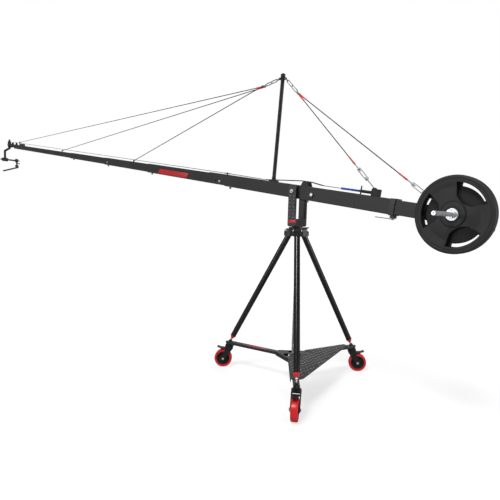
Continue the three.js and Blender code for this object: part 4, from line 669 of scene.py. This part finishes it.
# %% Wheel pieces
RIB_COUNT = 5
tread = turned("tread", [
    (47.8, -18), (50, -18.2), (51, -20), (56, -20), (60, -19), (61.9, -16.5), (62.4, -12), (62.5, 0),
    (62.4, 12), (61.9, 16.5), (60, 19), (56, 20), (51, 20), (50, 18.2), (47.8, 18), (47.8, -18),
], Matrix(), steps=64)
centre_line = [
    (5.3, -22.7), (15.5, -22.7), (17, -21.4), (17.6, -12), (20, -9), (36.5, -9), (39, -11), (40.2, -16.4),
    (42, -18), (46.5, -18), (47.7, -17),
]
mirrored_line = [(radius, -height) for radius, height in reversed(centre_line)]
centre = turned("centre", centre_line + mirrored_line + [centre_line[0]], Matrix(), steps=64)
ribs = []
for i in range(RIB_COUNT):
    turn = Matrix.Rotation(math.tau * i / RIB_COUNT, 4, "Z")
    ribs.append(outlined("rib", [(17, -3.5), (40, -3.5), (40, 3.5), (17, 3.5)], 30,
                         turn @ Matrix.Translation((0, 0, -15 * MM)), 0.8))
centre = joined("centre", [centre] + ribs)
hexagon = outlined("axle_nut", circle(9.2, 6), 5.1, Matrix.Translation((0, 0, 27.1 * MM)), 0.8)
dome = turned("axle_end", [(0, 34), (2.6, 34), (4.4, 33), (5, 31.8), (5, 31)], Matrix(), steps=24)
cap = joined("axle_cap", [hexagon, dome])
print("wheel centre faces", len(centre.data.polygons))

# %% [markdown]
# The frame's joints say where each axle lies, so a wheel is aimed along its joint's axis. The far
# cap is the near one turned half round.

# %% Wheels on their casters
for name in ARM_ANGLES:
    spin = joints["wheel_spin_" + name]
    hub = Vector(spin["pos_m"])
    place = aimed(hub, hub + Vector(spin["axis"]))
    seat(copied(tread, "wheel_tread_" + name + "_finished", place), "red_wheel", "wheel_tread_" + name)
    seat(copied(centre, "wheel_core_" + name + "_finished", place), "moulded_black", "wheel_core_" + name)
    near = copied(cap, "axle_near", place)
    far = copied(cap, "axle_far", place @ Matrix.Rotation(math.pi, 4, "X"))
    seat(joined("axle_caps_" + name, [near, far]), "plated_steel", body=body_of["caster_fork_" + name],
         slot=slot_of["pivot_bolt"])
for piece in (tread, centre, cap):
    bpy.data.objects.remove(piece)
print("wheels", len(ARM_ANGLES))

# %% [markdown]
# The mast's stays are wire rope in a black jacket. A crimped end is covered by a shrunk sleeve:
# red where the picture shows red, black at the far ends of the two longest. Each stay follows the
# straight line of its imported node, whose two ends are the middles of its outermost corners.

# %% Stays
STAY_DIAMETER = 6
END_REACH = 12 * MM
BLACK_SLEEVE = 33
RED_SLEEVES = {
    "front_stay_long": (66, None), "front_stay_middle": (66, None), "front_stay_short": (66, 33),
    "rear_stay_upper": (66, 66), "rear_stay_lower": (66, 66),
}


def ends_of(name):
    """The middles of a straight node's two ends, the mast's end first: it is nearer the pivot."""
    corners = [vertex.co for vertex in frame["nodes"][name].data.vertices]
    far = max(corners, key=lambda corner: (corner - corners[0]).length)
    near = max(corners, key=lambda corner: (corner - far).length)
    middles = []
    for tip in (near, far):
        group = [corner for corner in corners if (corner - tip).length < END_REACH]
        middles.append(sum(group, Vector()) / len(group))
    return sorted(middles, key=lambda middle: abs(middle.x))


def sleeve(name, place, length):
    """A shrunk sleeve from the place's foot up, thinner where the crimp below it ends."""
    return turned(name, [
        (2.9, 0.4), (4.2, 0.4), (4.9, 2), (5, 10), (5, 24), (4.3, 28), (4.2, length - 4), (3.8, length - 1),
        (3, length), (2.9, 0.4),
    ], place, steps=20)


for name, (upper, lower) in RED_SLEEVES.items():
    top, foot = ends_of(name)
    body = body_of[name]
    slot = slot_of[name]
    seat(wired(name + "_finished", [top, foot], STAY_DIAMETER), "cable_jacket", name)
    seat(sleeve(name + "_upper_sleeve", aimed(top, foot), upper), "red_sleeve", body=body, slot=slot)
    look = "red_sleeve" if lower else "moulded_black"
    cover = sleeve(name + "_lower_sleeve", aimed(foot, top), lower or BLACK_SLEEVE)
    seat(cover, look, body=body, slot=slot)
print("stays", len(RED_SLEEVES))

# %% [markdown]
# Two levelling cables run along the top of the boom, one at each side, round the head's quadrant
# at the tip and back to the tie block behind the pivot. Short blue sleeves cover their joints. The
# picture shows the cables as thin light lines against the white. Their route repeats the packed
# one: an arc over the quadrant, then points from guide to guide.

# %% Levelling cables
CABLE_SIDE = 21
CABLE_DIAMETER = 4
QUADRANT_ALONG, QUADRANT_RADIUS = -5385, 60
QUADRANT_ANGLES = (24, 16, 8, 0)
TIE_HEIGHT = 60
BLUE_START, BLUE_END = 332, 432

cable_line = []
for angle in QUADRANT_ANGLES:
    turn = math.radians(angle)
    cable_line.append((QUADRANT_ALONG - QUADRANT_RADIUS * math.sin(turn), QUADRANT_RADIUS * math.cos(turn)))
cable_line += [(-692, 52), (-300, 47), (35, 73), (85, 73), (190, TIE_HEIGHT), (448, TIE_HEIGHT)]
cables = []
for side in (-CABLE_SIDE, CABLE_SIDE):
    route = [on_boom(along, side, up) for along, up in cable_line]
    cables.append(wired("level_cable", route, CABLE_DIAMETER))
    start, end = on_boom(BLUE_START, side, TIE_HEIGHT), on_boom(BLUE_END, side, TIE_HEIGHT)
    tube = turned("blue_sleeve", [
        (1.9, 0), (4.6, 0), (6.5, 2), (6.5, 30), (5.6, 34), (5.6, 66), (6.5, 70), (6.5, 98), (4.6, 100),
        (1.9, 100), (1.9, 0),
    ], aimed(start, end), steps=20)
    seat(tube, "blue_sleeve", body=body_of["level_cables"], slot=slot_of["level_cables"])
seat(joined("level_cables_finished", cables), "strand_steel", "level_cables")
print("cable faces", len(cables[0].data.polygons))

# %% [markdown]
# The deck between the right and the front arm is diamond tread plate. One raised lozenge is cut
# and eased, and copies stand on the deck in crossing directions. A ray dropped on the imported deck
# shows where a whole lozenge has metal under it.

# %% Tread plate
LOZENGE_LENGTH, LOZENGE_WIDTH, LOZENGE_HEIGHT = 30, 10, 1.6
LOZENGE_SUNK = 0.2 * MM
TREAD_PITCH = 0.031
TREAD_ANGLES = (105, 15)
deck = frame["nodes"]["foot_platform"]
low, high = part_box("foot_platform")
deck_top = high.z


def deck_under(x, y):
    """True where the deck's flat top lies under a point."""
    hit, spot, normal, _ = deck.ray_cast(Vector((x, y, deck_top + 0.05)), Vector((0, 0, -1)))
    return hit and normal.z > 0.9 and abs(spot.z - deck_top) < 0.5 * MM


half_length, half_width = LOZENGE_LENGTH / 2, LOZENGE_WIDTH / 2
lozenge = outlined("lozenge", [
    (-half_length, 0), (-half_length / 2, -half_width), (half_length / 2, -half_width),
    (half_length, 0), (half_length / 2, half_width), (-half_length / 2, half_width),
], LOZENGE_HEIGHT, Matrix(), 0.6)
diamonds = []
rows = int((high.x - low.x) / TREAD_PITCH) + 1
columns = int((high.y - low.y) / TREAD_PITCH) + 1
for row in range(rows):
    for column in range(columns):
        x, y = low.x + row * TREAD_PITCH, low.y + column * TREAD_PITCH
        angle = math.radians(TREAD_ANGLES[(row + column) % 2])
        reach = Vector((math.cos(angle), math.sin(angle))) * LOZENGE_LENGTH / 2 * MM
        if all(deck_under(x + reach.x * share, y + reach.y * share) for share in (-1.2, 0, 1.2)):
            place = Matrix.Translation((x, y, deck_top - LOZENGE_SUNK)) @ Matrix.Rotation(angle, 4, "Z")
            diamonds.append(copied(lozenge, "diamond", place))
bpy.data.objects.remove(lozenge)
seat(joined("deck_diamonds", diamonds), "tread_metal", body=body_of["foot_platform"],
     slot=slot_of["foot_platform"])
print("diamonds in", rows, "rows by", columns)

# %% [markdown]
# Three red plates mark the crane: a slanted one on the near side of the second section, a band
# round the near yoke arm and a strip on the left base arm. They are thin sheets with nothing on
# them, laid on their surface.

# %% Red bare plates
SHEET = 0.4
BAND_LOW, BAND_HIGH = 0.890, 0.908
BAND_PROUD = 0.3
SECTION_SIDE = 32.5 * MM
BASE_ARM_TOP = 0.0232
low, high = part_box("yoke_arm_near")
arm_x, arm_y = (low.x + high.x) / 2, (low.y + high.y) / 2
arm_face = low.y
half_x, half_y = (high.x - low.x) / 2 / MM + BAND_PROUD, (high.y - low.y) / 2 / MM + BAND_PROUD
band = outlined("arm_band", [(-half_x, -half_y), (half_x, -half_y), (half_x, half_y), (-half_x, half_y)],
                (BAND_HIGH - BAND_LOW) / MM, Matrix.Translation((arm_x, arm_y, BAND_LOW)), 0.2)
seat(band, "red_paint", body=body_of["yoke_arm_near"], slot=slot_of["wheel_tread_front"])
flag = outlined("section_flag", [(-1559, -30), (-1150, -34), (-1124, 8), (-1533, 8)], SHEET,
                BOOM @ Matrix.Translation((0, -SECTION_SIDE, 0)) @ FACING_NEAR, 0.1)
seat(flag, "red_paint", body=body_of["boom_section_2"], slot=slot_of["wheel_tread_front"])
strip = outlined("arm_strip", [(190, 0), (352, 0), (365, 15), (203, 15)], SHEET,
                 round_crane("left") @ Matrix.Translation((0, 0, BASE_ARM_TOP)), 0.1)
seat(strip, "red_paint", body=body_of["base_arm_left"], slot=slot_of["wheel_tread_front"])
print("red plates", [piece.name for piece in (band, flag, strip)])

# %% [markdown]
# Bright fasteners stand out against the black. Most are the same bolt: a hexagon on a washer, with
# the thread's end showing. It is made once, and its first copies are the bolts through the crown's
# six bracket sides.

# %% Crown bolts
CROWN_REACH, CROWN_SIDE, CROWN_HEIGHT = 0.070, 0.0244, 0.840
head = joined("bolt_head", [
    outlined("hexagon", circle(7.5, 6), 4.6, Matrix(), 0.7),
    turned("washer", [(0, -0.4), (9.4, -0.4), (9.6, 0), (9.6, 0.6), (9.2, 1), (0, 1), (0, -0.4)], Matrix(),
           steps=28),
    turned("bolt_end", [(0, 7.6), (3, 7.4), (4, 6.6), (4, 4)], Matrix(), steps=20),
])
bolts = []
for name in ARM_ANGLES:
    for side in (-1, 1):
        spot = Matrix.Translation((CROWN_REACH, side * CROWN_SIDE, CROWN_HEIGHT))
        place = round_crane(name) @ spot @ Matrix.Rotation(-side * math.pi / 2, 4, "X")
        bolts.append(copied(head, "crown_bolt", place))
seat(joined("crown_bolts", bolts), "plated_steel", body=body_of["crown"], slot=slot_of["pivot_bolt"])
print("crown bolts", len(bolts))

# %% [markdown]
# Along the boom the picture shows a round knob beside the pivot, a bolt near the mouths of two
# sections, and the pivot's own nut. A ray from the near side finds the tube face that a section
# bolt sits on, so the bolt needs no depth of its own.

# %% Boom bolts
KNOB_PLACE = (0.140, -0.0361, -0.004)
PIVOT_HEAD = -0.0697
SECTION_BOLTS = ((-736, -15), (-2492, -9))
RAY_START = -300

knob = turned("wing_knob", [
    (0, 0), (8, 0), (8, 4), (11.4, 5), (12, 7), (12, 13.5), (10.6, 15.6), (4, 16), (0, 16),
], BOOM @ Matrix.Translation(KNOB_PLACE) @ FACING_NEAR, steps=24)
seat(knob, "plated_steel", body=body_of["main_boom"], slot=slot_of["pivot_bolt"])
tubes = ["main_boom", "boom_section_2", "boom_section_3", "boom_section_4"]
for along, up in SECTION_BOLTS:
    start = on_boom(along, RAY_START, up)
    hits = [(frame["nodes"][tube].ray_cast(start, Vector((0, 1, 0))), tube) for tube in tubes]
    near_y, tube = min((hit[1].y, tube) for hit, tube in hits if hit[0])
    place = BOOM @ Matrix.Translation((along * MM, near_y, up * MM)) @ FACING_NEAR
    bolt = copied(head, "section_bolt", place)
    seat(bolt, "plated_steel", body=body_of[tube], slot=slot_of["pivot_bolt"])
    print("section bolt on", tube)
nut = copied(head, "pivot_nut", BOOM @ Matrix.Translation((0, PIVOT_HEAD, 0)) @ FACING_NEAR)
seat(nut, "plated_steel", body=body_of["pivot_bolt"], slot=slot_of["pivot_bolt"])
bpy.data.objects.remove(head)

# %% [markdown]
# Two rows of small screws run up the near yoke arm. Each has a turned head with a shallow recess.

# %% Yoke screws
SCREW_ROWS = 7
SCREW_PITCH = 0.022
SCREW_SIDE = 0.017
FIRST_SCREW = 0.926
screw = turned("screw_head", [
    (0, 0.5), (1.6, 0.5), (1.8, 1.5), (2.9, 1.7), (3.4, 1.2), (3.5, -0.4), (0, -0.4), (0, 0.5),
], Matrix(), steps=20)
screws = []
for row in range(SCREW_ROWS):
    for side in (-SCREW_SIDE, SCREW_SIDE):
        place = Matrix.Translation((arm_x + side, arm_face, FIRST_SCREW + row * SCREW_PITCH)) @ FACING_NEAR
        screws.append(copied(screw, "yoke_screw", place))
seat(joined("yoke_screws", screws), "zinc_steel", body=body_of["yoke_arm_near"], slot=slot_of["pivot_bolt"])
bpy.data.objects.remove(screw)
print("yoke screws", len(screws))

# %% [markdown]
# What is left is plate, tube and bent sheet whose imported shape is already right. Each gets its
# welded, softened copy and its own finish: powder coat on the boom, cast and bent parts darker.

# %% Soften what is left
plain_finish = {
    "powder_coat": ["main_boom", "boom_section_2", "boom_section_3", "boom_section_4", "boom_tip",
                    "tail_tube"],
    "arm_coat": ["yoke_arm_near", "yoke_arm_far"],
    "cast_black": ["crown", "yoke_base", "tail_collar", "mast", "dolly_hub", "base_arm_front",
                   "base_arm_right", "base_arm_left"],
    "fork_paint": ["caster_fork_front", "caster_fork_right", "caster_fork_left"],
    "moulded_black": ["foot_platform", "head_bracket", "hanging_arm", "tilt_arm", "camera_plate",
                      "brake_pedal_front", "brake_pedal_right", "brake_pedal_left", "pan_lock_lever",
                      "cable_tensioner"],
    "plated_steel": ["pivot_bolt", "tilt_lock_knob", "clamp_lever"],
    "zinc_steel": ["rear_rigging", "front_rigging", "turnbuckle_upper", "turnbuckle_lower"],
}
for look, names in plain_finish.items():
    for name in names:
        seat(softened(name), look, name)
print("softened", sum(len(names) for names in plain_finish.values()))
